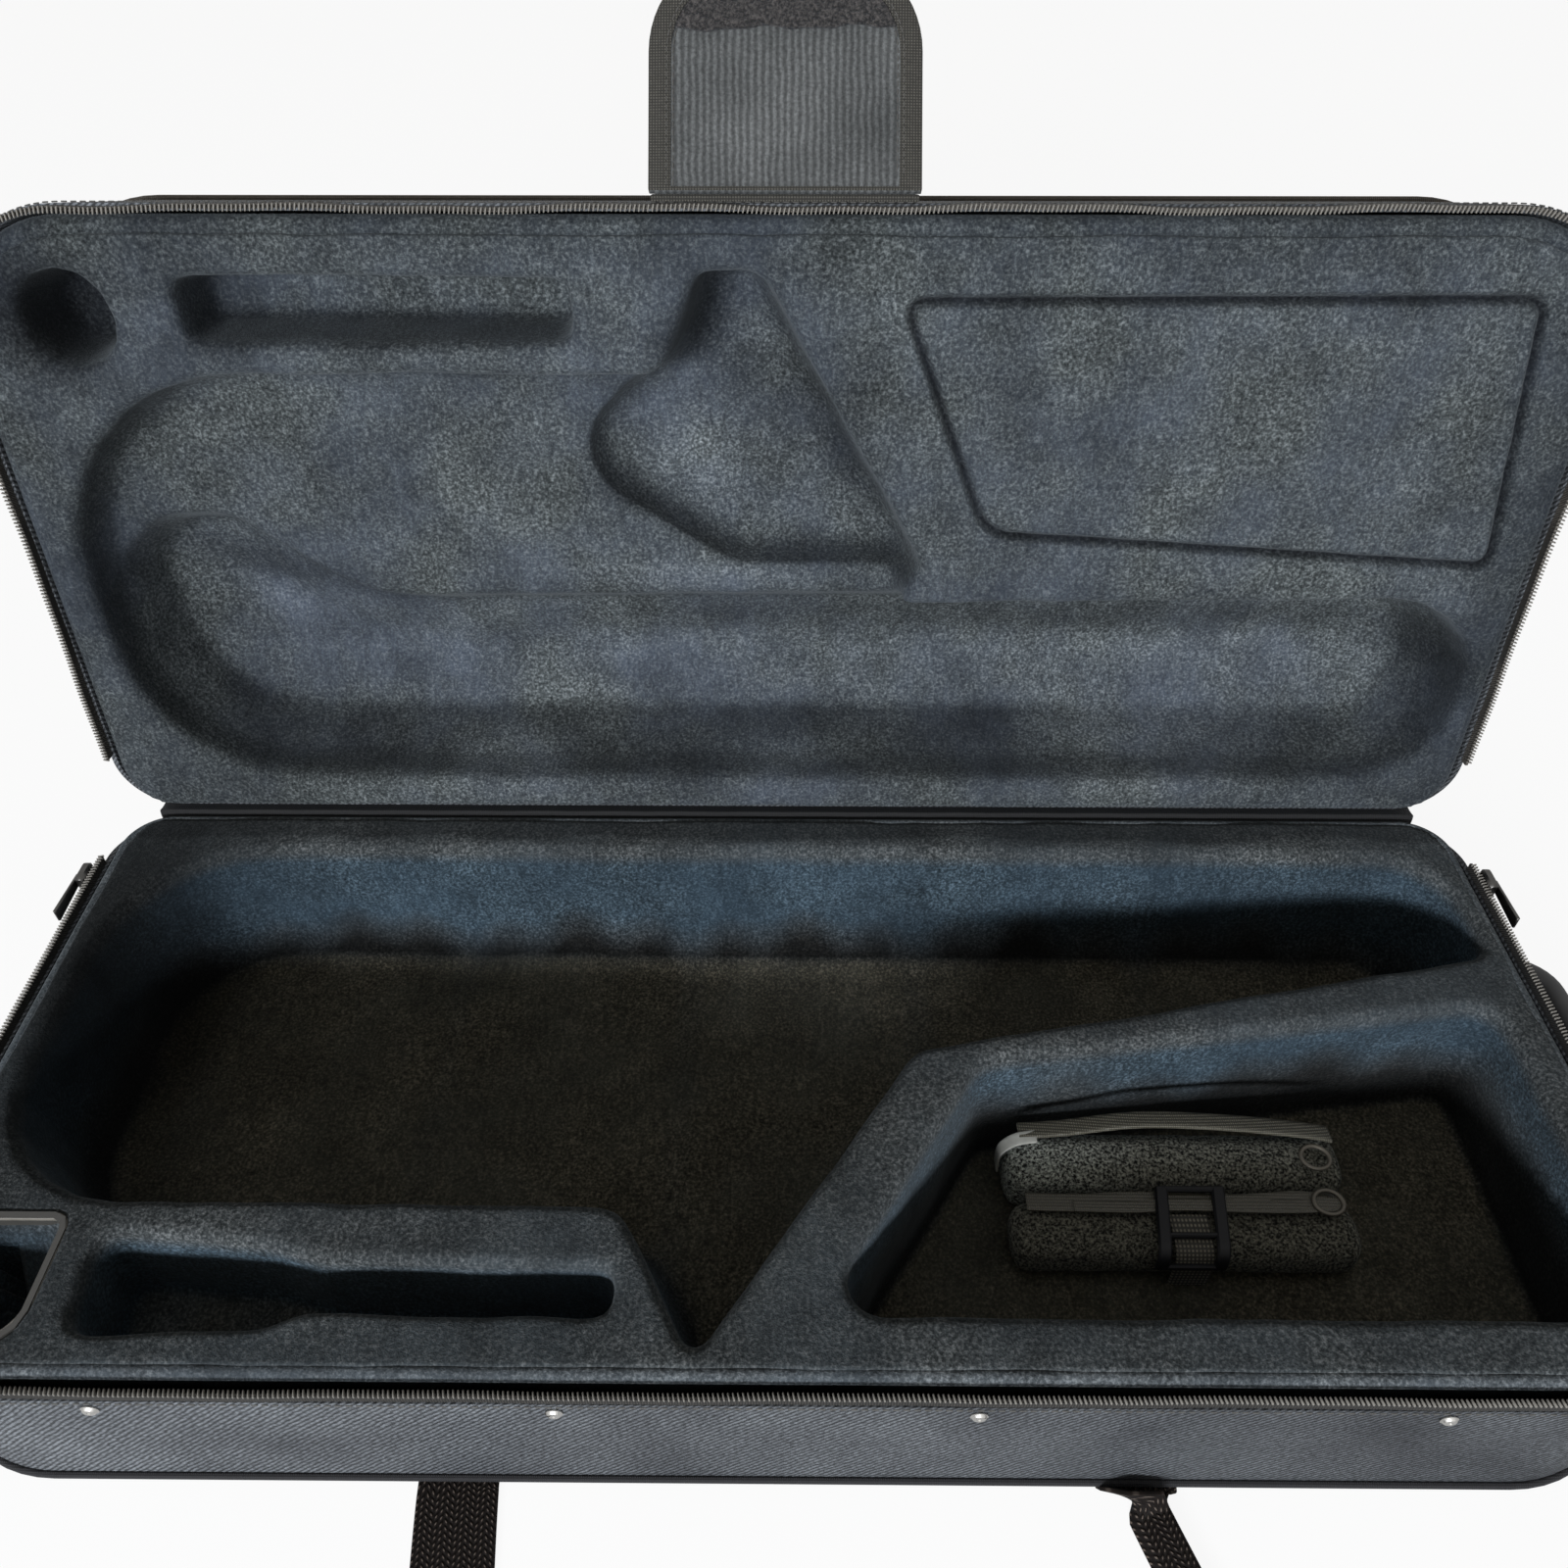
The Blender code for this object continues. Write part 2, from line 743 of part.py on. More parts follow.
def make_flap():
    """The flap droops back from the lid's front wall, with its hook side towards the seam."""
    strip_out = fit_gap + seam_strip_thickness
    axis_y = -case_depth - strip_out - fit_gap
    axis_z = seam_gap + flap_rise
    fold = add_empty("flap_fold", (0, axis_y, axis_z), lid_hinge, turn=-flap_droop)

    # The strip lies on the drafted wall behind the fold
    up_wall = Vector((0, math.sin(lid_draft_angle), math.cos(lid_draft_angle)))
    off_wall = Vector((0, -up_wall.z, up_wall.y))
    wall_start = Vector((0, -case_depth, seam_gap + shell_wall_drop))
    low = axis_z + flap_thickness / 2 + fit_gap - strip_out * off_wall.z
    strip_middle = (low - wall_start.z) / up_wall.z + seam_strip_height / 2
    strip = rounded_block(
        "flap_seam_strip",
        (flap_width, seam_strip_thickness, seam_strip_height),
        (0, 0, 0),
        seam_strip_thickness / 4,
        ribbed_cloth,
        lid_hinge,
    )
    seat = fit_gap + seam_strip_thickness / 2
    strip.location = wall_start + up_wall * strip_middle + off_wall * seat
    strip.rotation_euler.x = -lid_draft_angle
    half_width = flap_width / 2
    root_corner = flap_thickness / 4
    corners = [
        (half_width, 0, root_corner),
        (-half_width, 0, root_corner),
        (-half_width, -flap_length, flap_tip_radius),
        (half_width, -flap_length, flap_tip_radius),
    ]

    def slab(name, edge, low, thickness, material):
        rings = [[(x, y, z) for x, y in edge] for z in (low, low + thickness)]
        return loft(name, rings, material, fold)

    slab("flap_panel", outline(corners), -flap_thickness / 2, flap_thickness, ribbed_cloth)
    under = -flap_thickness / 2 - fit_gap
    border_low = under - binding_thickness
    border = slab("flap_binding", outline(corners), border_low, binding_thickness, taupe_tape)
    opening = [(x, y + binding_width if y == 0 else y, r) for x, y, r in corners]
    window = outline(opening, -binding_width)
    cutter = slab(
        "flap_window", window, border_low - overrun, binding_thickness + 2 * overrun, None
    )
    boolean(border, make_cutter(cutter), "DIFFERENCE")
    inside = outline(opening, -binding_width - fit_gap)
    hook = slab("flap_hook_patch", inside, under - hook_thickness, hook_thickness, hook_pile)
    trim_length = hook_start + overrun
    trim = rounded_block(
        "flap_hook_trim",
        (flap_width, trim_length, hook_thickness + overrun),
        (0, overrun - trim_length / 2, under),
        smallest_radius,
        None,
        fold,
    )
    boolean(hook, make_cutter(trim), "DIFFERENCE")


def make_sliders():
    """Each slider rides outside the teeth; its pull turns on an upright pin."""
    teeth_out = teeth_width / 2 - tape_thickness / 2 - tape_inset
    slider_y = tape_end - slider_parking
    slider_z = base_height - slider_height / 2
    for name, side in (("left", -1), ("right", 1)):
        middle = half_length + teeth_out + fit_gap + slider_thickness / 2
        travel = add_empty(f"{name}_slider_travel", (side * middle, slider_y, slider_z))
        rounded_block(
            f"zip_slider_{name}",
            (slider_thickness, slider_length, slider_height),
            (0, 0, 0),
            slider_edge_radius,
            nickel,
            travel,
        )
        pin = slider_thickness / 2 + fit_gap + pull_thickness / 2
        swing = add_empty(f"{name}_pull_swing", (side * pin, 0, 0), travel)
        rounded_block(
            f"zip_pull_{name}",
            (pull_thickness, pull_length, pull_width),
            (0, pull_thickness / 2 - pull_length / 2, 0),
            pull_thickness / 4,
            nickel,
            swing,
        )


def handle_route():
    """Out of the rear patch, round a bend, along the wall, and back into the front patch."""
    start_x = half_length + fit_gap + patch_thickness + fit_gap
    bend_x = start_x + handle_stub
    half_spread = handle_spread / 2
    points = [(start_x, half_spread)]
    turns = round(math.radians(90) / handle_bend_step)
    for index in range(turns + 1):
        angle = handle_bend_step * index
        points.append(
            (
                bend_x + handle_bend_radius * math.sin(angle),
                half_spread - handle_bend_radius + handle_bend_radius * math.cos(angle),
            )
        )
    return points + [(x, -y) for x, y in points[::-1]]


def make_end_handle():
    level = base_height - handle_drop
    route = [(x, y, level) for x, y in handle_route()]
    tube("end_handle_grip", route, handle_radius, rubber, resolution=3)
    for name, side in (("rear", 1), ("front", -1)):
        rounded_block(
            f"end_handle_patch_{name}",
            (patch_thickness, patch_length, patch_height),
            (
                half_length + fit_gap + patch_thickness / 2,
                side * handle_spread / 2,
                level,
            ),
            patch_thickness / 4,
            webbing,
        )


def smooth_route(points, samples):
    """Points along a smooth curve through the given ones."""
    result = []
    last = len(points) - 1
    for index in range(last):
        before = points[max(index - 1, 0)]
        start = points[index]
        end = points[index + 1]
        after = points[min(index + 2, last)]
        for step in range(samples):
            t = step / samples
            result.append(
                (
                    2 * start
                    + (end - before) * t
                    + (2 * before - 5 * start + 4 * end - after) * t**2
                    + (3 * start - before - 3 * end + after) * t**3
                )
                / 2
            )
    result.append(points[last])
    return result


def make_carry_strap():
    """The roots are caught under the front edge; the loop in front of them lifts."""
    axis_y = -half_depth - piping_place(base)[1] - piping_radius - 2 * fit_gap
    axis_z = strap_floor_gap + webbing_thickness
    facet = shell_edge_radius * (1 - math.cos(floor_angles[1]))
    seat_height = strap_floor_gap + webbing_thickness + fit_gap
    seat_out = (shell_edge_radius - facet) * seat_height / facet
    root_rear = -half_depth + shell_edge_radius - seat_out
    lift = add_empty("carry_strap_lift", (0, axis_y, axis_z))
    route = [
        Vector((x * case_length, -reach * case_depth)) for x, reach in strap_route_shares
    ]
    route[0].y = -fit_gap
    route[-1].y = -fit_gap
    curve = smooth_route(route, strap_samples)
    bowed = [point for point in curve if point.y < -strap_straight]
    middle = [route[0], *bowed, route[-1]]
    sides = ([], [])
    for index, point in enumerate(middle):
        ahead = middle[min(index + 1, len(middle) - 1)]
        behind = middle[max(index - 1, 0)]
        along = (ahead - behind).normalized()
        if index in (0, len(middle) - 1):
            along = Vector((0, -1 if index == 0 else 1))
        across = Vector((-along.y, along.x)) * webbing_width / 2
        sides[0].append(point + across)
        sides[1].append(point - across)
    edge = sides[0] + sides[1][::-1]
    rings = [[(point.x, point.y, z) for point in edge] for z in (-webbing_thickness, 0)]
    loft("carry_strap", rings, webbing, lift)
    for name, place in (("left", route[0]), ("right", route[-1])):
        rounded_block(
            f"carry_strap_root_{name}",
            (webbing_width, root_rear - axis_y, webbing_thickness),
            (place.x, (axis_y + root_rear) / 2, axis_z - webbing_thickness / 2),
            webbing_thickness / 4,
            webbing,
        )


def soft_pad(name, size, centre, material, parent):
    """A cushion: a cut cube with its faces crowned and its corners drawn in."""
    work = bmesh.new()
    bmesh.ops.create_cube(work, size=2)
    bmesh.ops.subdivide_edges(work, edges=work.edges[:], cuts=pad_cuts, use_grid_fill=True)
    for vert in work.verts:
        x, y, z = vert.co
        ball = Vector(
            (
                x * math.sqrt(1 - y * y / 2 - z * z / 2 + y * y * z * z / 3),
                y * math.sqrt(1 - z * z / 2 - x * x / 2 + z * z * x * x / 3),
                z * math.sqrt(1 - x * x / 2 - y * y / 2 + x * x * y * y / 3),
            )
        )
        vert.co = vert.co.lerp(ball, pad_roundness_share)
    bmesh.ops.scale(work, vec=[side / 2 for side in size], verts=work.verts)
    bmesh.ops.translate(work, vec=centre, verts=work.verts)
    return finish_mesh(name, work, material, parent)


def arched_band(name, low, high, arch, material, parent):
    """A strip along X that rises in the middle. low and high are its corners at its ends."""
    rings = []
    for index in range(band_steps + 1):
        share = index / band_steps
        x = low[0] + (high[0] - low[0]) * share
        rise = arch * math.sin(math.pi * share)
        rings.append(
            [
                (x, low[1], low[2] + rise),
                (x, high[1], low[2] + rise),
                (x, high[1], high[2] + rise),
                (x, low[1], high[2] + rise),
            ]
        )
    return loft(name, rings, material, parent)


def make_ring(name, place, parent):
    points = [
        (
            place[0] + ring_radius * math.cos(index * ring_step),
            place[1] + ring_radius * math.sin(index * ring_step),
            place[2],
        )
        for index in range(round(math.tau / ring_step))
    ]
    return tube(name, points, ring_wire_radius, nickel, parent, cyclic=True)


def make_strap_bundle():
    floor = base_height - compartment_depth + fit_gap
    left = bundle_left_share * case_length
    rear = half_depth - bundle_rear_share * case_depth
    bundle = add_empty("strap_bundle_lift", (left, rear, floor))
    front_start = -rear_pad_width - fit_gap
    rear_size = (pad_length, rear_pad_width, rear_pad_height)
    front_size = (pad_length, front_pad_width, front_pad_height)
    middle_x = pad_length / 2
    rear_middle = (middle_x, -rear_pad_width / 2, rear_pad_height / 2)
    front_middle = (middle_x, front_start - front_pad_width / 2, front_pad_height / 2)
    soft_pad("strap_pad_rear", rear_size, rear_middle, pad_cloth, bundle)
    soft_pad("strap_pad_front", front_size, front_middle, pad_cloth, bundle)
    band_start = pad_length * band_end_share
    band_end = pad_length - band_start
    rear_top = rear_pad_height + fit_gap
    arched_band(
        "strap_webbing_rear",
        (band_start, -band_width, rear_top),
        (band_end, 0, rear_top + band_thickness),
        band_arch,
        taupe_tape,
        bundle,
    )
    front_top = front_pad_height + fit_gap
    band_rear = front_start - fit_gap
    arched_band(
        "strap_webbing_front",
        (band_start, band_rear - band_width, front_top),
        (band_end, band_rear, front_top + band_thickness),
        0,
        taupe_tape,
        bundle,
    )
    keeper_rear = band_rear - band_width - fit_gap
    keeper_front = front_start - front_pad_width
    rounded_block(
        "strap_keeper",
        (keeper_width, keeper_rear - keeper_front, keeper_thickness),
        (
            middle_x,
            (keeper_rear + keeper_front) / 2,
            front_top + keeper_thickness / 2,
        ),
        keeper_thickness / 4,
        webbing,
        bundle,
    )
    glide_low = front_top + band_thickness + fit_gap
    glide_y = front_start - front_pad_width / 2
    glide = rounded_block(
        "strap_tri_glide",
        (glide_length, glide_width, glide_thickness),
        (middle_x, glide_y, glide_low + glide_thickness / 2),
        glide_thickness / 4,
        rubber,
        bundle,
    )
    window_size = (
        glide_length - 2 * glide_bar,
        glide_width - 2 * glide_bar,
        glide_thickness + overrun,
    )
    window_place = (middle_x, glide_y, glide_low)
    window = rounded_block(
        "glide_window", window_size, window_place, glide_thickness / 4, None, bundle
    )
    boolean(glide, make_cutter(window), "DIFFERENCE")
    ring_rise = fit_gap + ring_wire_radius
    ring_reach = ring_radius + ring_wire_radius + fit_gap
    rear_ring = (
        band_end - ring_reach,
        -band_width - ring_reach,
        rear_pad_height + ring_rise,
    )
    front_ring = (
        band_end - ring_reach,
        front_start - ring_reach,
        front_top + band_thickness + ring_rise,
    )
    make_ring("strap_ring_rear", rear_ring, bundle)
    make_ring("strap_ring_front", front_ring, bundle)


# Build the two halves
for half, pockets in ((base, base_pockets), (lid, lid_pockets)):
    make_shell(half)
    make_zip(half)
    make_trims(half)
base_foam = make_foam(base, base_pockets)
base_lining = make_lining(base, base_pockets)
lid_foam = make_foam(lid, lid_pockets)
lid_lining = make_lining(lid, lid_pockets)
cup_hole = make_cup()
boolean(base_foam, cup_hole, "DIFFERENCE")
boolean(base_lining, cup_hole, "DIFFERENCE")
boolean(lid_lining, make_groove(), "DIFFERENCE")

# Build what they carry
make_rivets()
make_hinge_cloth()
make_flap()
make_sliders()
make_end_handle()
make_carry_strap()
make_strap_bundle()
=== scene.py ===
# Open soft-shell alto saxophone case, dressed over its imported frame.
import math

import bpy
from mathutils import Matrix, Vector, kdtree


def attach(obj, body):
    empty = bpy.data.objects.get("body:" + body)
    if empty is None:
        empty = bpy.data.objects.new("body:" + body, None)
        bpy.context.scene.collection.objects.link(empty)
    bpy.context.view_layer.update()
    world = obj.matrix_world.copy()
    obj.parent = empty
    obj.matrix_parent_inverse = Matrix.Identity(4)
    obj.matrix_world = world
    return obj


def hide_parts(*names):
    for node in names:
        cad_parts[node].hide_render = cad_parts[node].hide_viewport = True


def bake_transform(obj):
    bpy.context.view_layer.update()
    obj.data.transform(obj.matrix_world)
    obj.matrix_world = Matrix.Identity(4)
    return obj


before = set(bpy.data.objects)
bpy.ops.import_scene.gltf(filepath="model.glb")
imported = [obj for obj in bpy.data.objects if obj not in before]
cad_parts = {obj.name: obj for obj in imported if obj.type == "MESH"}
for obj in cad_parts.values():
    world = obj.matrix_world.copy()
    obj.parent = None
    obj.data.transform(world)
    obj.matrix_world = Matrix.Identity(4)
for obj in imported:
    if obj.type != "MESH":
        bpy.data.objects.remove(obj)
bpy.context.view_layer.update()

# Shared sizes of the case, in metres and degrees
caseSize = {
    "halfLength": 0.315,
    "halfDepth": 0.1325,
    "baseHeight": 0.078,
    "lidHeight": 0.074,
    "hinge": (0.0, 0.1325, 0.0784),
    "lean": 98.0,
    "frontCorner": 0.055,
    "rearCorner": 0.026,
    "seamGap": 0.0004,
    "draft": 9.0,
    "wallDrop": 0.006,
}
halfLength = caseSize["halfLength"]
halfDepth = caseSize["halfDepth"]
wallDrop = caseSize["wallDrop"]


def rotation(degrees, axis):
    return Matrix.Rotation(math.radians(degrees), 4, axis)


# The lid is modelled shut, mouth down, with its rim at the hinge's height, then swung open
lidFrame = Matrix.Translation(caseSize["hinge"]) @ rotation(-caseSize["lean"], "X")
shutLid = lidFrame @ Matrix.Translation((0, -halfDepth, caseSize["seamGap"]))


def clamp(value, low=0.0, high=1.0):
    return max(low, min(high, value))


def fade(value, start, span):
    # From nought at the start to one a span further
    return clamp((value - start) / span)


def pick(obj):
    for other in list(bpy.context.selected_objects):
        other.select_set(False)
    obj.select_set(True)
    bpy.context.view_layer.objects.active = obj


def modify(obj, kind, **settings):
    modifier = obj.modifiers.new(kind.lower(), kind)
    for key, value in settings.items():
        setattr(modifier, key, value)
    return modifier


def applyAll(obj):
    pick(obj)
    for modifier in list(obj.modifiers):
        bpy.ops.object.modifier_apply(modifier=modifier.name)


def settle(obj):
    pick(obj)
    bpy.ops.object.transform_apply(location=True, rotation=True, scale=True)


def place(obj, matrix):
    obj.data.transform(matrix)
    obj.data.update()


def shift(obj, x, y, z):
    place(obj, Matrix.Translation((x, y, z)))


def intoHalf(obj, half):
    # A piece made mouth up, rim at height nought, goes onto its half
    if half == "lid":
        obj.data.transform(Matrix.Scale(-1, 4, (0, 0, 1)))
        obj.data.flip_normals()
        place(obj, shutLid)
    else:
        shift(obj, 0, 0, caseSize["baseHeight"])


def choose(obj, kind=None, test=None):
    # Opens edit mode with the faces, edges or vertices that pass the test, or with everything
    pick(obj)
    if test is None:
        bpy.ops.object.mode_set(mode="EDIT")
        bpy.ops.mesh.select_all(action="SELECT")
        return
    mesh = obj.data
    faces = [face for face in mesh.polygons if kind == "FACE" and test(face)]
    if kind == "FACE":
        verts = {vert for face in faces for vert in face.vertices}
        keys = {key for face in faces for key in face.edge_keys}
    elif kind == "EDGE":
        keys = {edge.key for edge in mesh.edges if test(edge)}
        verts = {vert for key in keys for vert in key}
    else:
        verts = {vert.index for vert in mesh.vertices if test(vert.co)}
        keys = {edge.key for edge in mesh.edges if verts.issuperset(edge.vertices)}
    chosen = {face.index for face in faces}
    for face in mesh.polygons:
        face.select = face.index in chosen
    for vert in mesh.vertices:
        vert.select = vert.index in verts
    for edge in mesh.edges:
        edge.select = edge.key in keys
    modes = [kind == name for name in ("VERT", "EDGE", "FACE")]
    bpy.context.tool_settings.mesh_select_mode = modes
    bpy.ops.object.mode_set(mode="EDIT")


def objectMode():
    bpy.ops.object.mode_set(mode="OBJECT")


def erase(obj, kind, test, what=None):
    choose(obj, kind, test)
    bpy.ops.mesh.delete(type=what or kind)
    objectMode()


def dropFaces(obj):
    erase(obj, "FACE", lambda face: True, "ONLY_FACE")


def roundOff(obj, offset, segments, kind=None, test=None):
    choose(obj, kind, test)
    affect = "VERTICES" if kind == "VERT" else "EDGES"
    bpy.ops.mesh.bevel(offset=offset, segments=segments, affect=affect)
    objectMode()


def cutAcross(obj, spot, normal, **more):
    choose(obj)
    bpy.ops.mesh.bisect(plane_co=spot, plane_no=normal, **more)
    objectMode()


def extrude(kind, move):
    # Draws out what is chosen in edit mode
    tools = {
        "FACE": bpy.ops.mesh.extrude_region_move,
        "EDGE": bpy.ops.mesh.extrude_edges_move,
        "VERT": bpy.ops.mesh.extrude_vertices_move,
    }
    tools[kind](TRANSFORM_OT_translate={"value": move})


def faceOutwards(obj, merge=True):
    choose(obj)
    if merge:
        bpy.ops.mesh.remove_doubles(threshold=0.00001)
    bpy.ops.mesh.normals_make_consistent(inside=False)
    objectMode()


def openEdges(obj):
    used = {}
    for face in obj.data.polygons:
        for key in face.edge_keys:
            used[key] = used.get(key, 0) + 1
    return {edge.index for edge in obj.data.edges if used.get(edge.key, 0) == 1}


def coat(obj, material):
    obj.data.materials.clear()
    obj.data.materials.append(material)


def finishPiece(obj, name, material, body, slot, *nodes, sharp=None):
    # Sharp is the angle past which edges stay hard; at 180 degrees none does
    pick(obj)
    if sharp == 180:
        bpy.ops.object.shade_smooth()
    elif sharp:
        bpy.ops.object.shade_smooth_by_angle(angle=math.radians(sharp))
    obj.name = name
    obj.data.name = name
    coat(obj, material)
    if nodes:
        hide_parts(*nodes)
    if body:
        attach(obj, body)
    return obj


def addPlane(width, depth, spot=(0, 0, 0)):
    bpy.ops.mesh.primitive_plane_add(size=1, location=spot)
    obj = bpy.context.active_object
    obj.scale = (width, depth, 1)
    settle(obj)
    return obj


def addBlock(size):
    bpy.ops.mesh.primitive_cube_add(size=1, location=(0, 0, 0))
    obj = bpy.context.active_object
    obj.scale = size
    settle(obj)
    return obj


def smallBlock(size, bevel=0.3, turn=0.0):
    obj = addBlock(size)
    roundOff(obj, min(size) * bevel, 1)
    if turn:
        place(obj, rotation(turn, "Z"))
    return obj


def rimOutline(inset, rearInset=None, points=14):
    # A rounded rectangle like the case's rim, drawn in by the inset
    rearInset = inset if rearInset is None else rearInset
    depth = 2 * halfDepth - inset - rearInset
    obj = addPlane(2 * (halfLength - inset), depth, (0, (inset - rearInset) / 2, 0))
    front = caseSize["frontCorner"] - inset
    rear = max(caseSize["rearCorner"] - inset, 0.004)
    edgeX = halfLength - inset - 0.001
    for radius, side in ((front, -1), (rear, 1)):
        roundOff(obj, radius, points, "VERT", lambda co: co.y * side > 0 and abs(co.x) > edgeX)
    return obj


def toCord(obj, radius, sides=3):
    # The outline's edge as a round cord
    dropFaces(obj)
    pick(obj)
    bpy.ops.object.convert(target="CURVE")
    obj.data.bevel_depth = radius
    obj.data.bevel_resolution = sides
    bpy.ops.object.convert(target="MESH")
    return bpy.context.active_object


def tint(code, alpha=1.0):
    # Hex colour to the linear values that a shader takes
    values = [int(code[i : i + 2], 16) / 255 for i in (1, 3, 5)]
    return [v / 12.92 if v <= 0.04045 else ((v + 0.055) / 1.055) ** 2.4 for v in values] + [alpha]


def addNode(look, kind, inputs=None, **settings):
    # A node with its settings; an input is a hex colour, a value or another node's socket
    node = look.node_tree.nodes.new("ShaderNode" + kind)
    for key, value in settings.items():
        setattr(node, key, value)
    for key, value in (inputs or {}).items():
        if isinstance(value, bpy.types.NodeSocket):
            look.node_tree.links.new(value, node.inputs[key])
        else:
            node.inputs[key].default_value = tint(value) if isinstance(value, str) else value
    return node


def newMaterial(name, roughness, sheen=0.0, sheenTint="#8f98a0", metal=0.0, specular=0.5):
    look = bpy.data.materials.new(name)
    look.use_nodes = True
    shader = look.node_tree.nodes["Principled BSDF"]
    values = {
        "Roughness": roughness,
        "Metallic": metal,
        "Specular IOR Level": specular,
        "Sheen Weight": sheen,
        "Sheen Roughness": 0.45,
        "Sheen Tint": tint(sheenTint),
    }
    for key, value in values.items():
        shader.inputs[key].default_value = value
    return look


def toShader(look, key, socket):
    look.node_tree.links.new(socket, look.node_tree.nodes["Principled BSDF"].inputs[key])


def objectPlace(look, scale=(1, 1, 1), turn=(0, 0, 0)):
    spot = addNode(look, "TexCoord").outputs["Object"]
    turned = [math.radians(a) for a in turn]
    inputs = {"Vector": spot, "Scale": scale, "Rotation": turned}
    return addNode(look, "Mapping", inputs).outputs["Vector"]


def split(look, where):
    return addNode(look, "SeparateXYZ", {"Vector": where}).outputs


def noise(look, where, size, detail=2.0, rough=0.5):
    # Noise whose blotches are about this many millimetres
    inputs = {"Vector": where, "Scale": 1000 / size, "Detail": detail, "Roughness": rough}
    return addNode(look, "TexNoise", inputs).outputs["Fac"]


def ramp(look, socket, *stops):
    node = addNode(look, "ValToRGB", {"Fac": socket})
    elements = node.color_ramp.elements
    while len(elements) < len(stops):
        elements.new(0.5)
    for element, (position, color) in zip(elements, stops):
        element.position = position
        element.color = tint(color) if isinstance(color, str) else (color, color, color, 1)
    return node.outputs["Color"]


def blendColor(look, share, first, second, kind="MULTIPLY"):
    inputs = {0: share, 6: first, 7: second}
    return addNode(look, "Mix", inputs, data_type="RGBA", blend_type=kind).outputs[2]


def mottle(look, color, grain, low, high, share=1.0):
    # The colour times a grey that follows the grain; low and high are (grain, tone)
    return blendColor(look, share, color, ramp(look, grain, low, high))


def dim(look, color, level):
    # The colour times one number
    grey = addNode(look, "CombineColor", {"Red": level, "Green": level, "Blue": level})
    return blendColor(look, 1.0, color, grey.outputs["Color"])


def maths(look, operation, first, second=0.5):
    return addNode(look, "Math", {0: first, 1: second}, operation=operation).outputs[0]


def plus(look, first, second, share):
    return maths(look, "ADD", first, maths(look, "MULTIPLY", second, share))


def wave(look, where, pitch, direction, distortion=0.0):
    # Bands of this pitch in millimetres
    spread = 10 if direction == "DIAGONAL" else 20
    scale = 2 * math.pi * 1000 / (spread * pitch)
    inputs = {"Vector": where, "Scale": scale, "Distortion": distortion}
    return addNode(look, "TexWave", inputs, bands_direction=direction).outputs["Fac"]


def ease(look, socket, low, high, first, last):
    # Maps a value's range softly to another one
    inputs = {"Value": socket, "From Min": low, "From Max": high, "To Min": first, "To Max": last}
    return addNode(look, "MapRange", inputs, interpolation_type="SMOOTHSTEP").outputs["Result"]


def dress(look, color, height, depth, strength=0.8):
    # Colour and relief, its depth in millimetres
    inputs = {"Height": height, "Distance": depth / 1000, "Strength": strength}
    toShader(look, "Base Color", color)
    toShader(look, "Normal", addNode(look, "Bump", inputs).outputs["Normal"])
    return look


# Tints, in order: painted shade on the hollows' walls and in the groove, painted light on the
# hollows' floors, painted shade low on the walls
lidTints = {
    "paintedWallTone": (0.06, 0.06, 0.08, 1),
    "paintedFloorLight": (3.5, 3.5, 3.7, 1),
    "sunk": (0.16, 0.15, 0.14, 1),
}
# On the base the wall tint is a bluish painted light and the floor tint a warm painted light
baseTints = {**lidTints, "paintedWallTone": (0.62, 0.84, 1.04, 1), "paintedFloorLight": (1.36, 1.15, 0.86, 1)}


def makePlush(name, dark, middle, light, blue, edgeShade=(), tints=lidTints):
    look = newMaterial(name, 0.95, sheen=0.3, sheenTint="#838a8e", specular=0.08)
    where = objectPlace(look)
    pile = noise(look, where, 1.25, 3.0, 0.65)
    speckle = ramp(look, pile, (0.28, dark), (0.50, middle), (0.72, light))
    cool = ramp(look, noise(look, where, 55, 3.0, 0.55), (0.38, 0.0), (0.66, 1.0))
    color = blendColor(look, maths(look, "MULTIPLY", cool, 0.55), speckle, blue, "MIX")
    color = mottle(look, color, noise(look, where, 24, 3.0), (0.3, 0.72), (0.7, 1.18))
    # short strokes left by brushing toward the hinge
    strokes = noise(look, objectPlace(look, (1, 0.3, 0.3)), 2.2, 2.0)
    color = mottle(look, color, strokes, (0.35, 0.86), (0.65, 1.12))
    # painted shade and painted light from the attributes
    for label, shade in tints.items():
        share = addNode(look, "Attribute", attribute_name=label).outputs["Fac"]
        color = blendColor(look, share, color, shade)
    # painted shade: darker toward some edges, where less light falls: axis, near, far, tone at the
    # near end
    spot = split(look, addNode(look, "TexCoord").outputs["Object"])
    uneven = maths(look, "SUBTRACT", noise(look, where, 60, 1.0), 0.5)
    drift = maths(look, "MULTIPLY", uneven, 0.012)
    for axis, near, far, tone in edgeShade:
        ends = (tone, 1.0) if near < far else (1.0, tone)
        run = maths(look, "ADD", spot[axis], drift)
        color = dim(look, color, ease(look, run, min(near, far), max(near, far), *ends))
    height = plus(look, pile, noise(look, where, 0.55, 1.0), 0.5)
    return dress(look, color, height, 0.45)


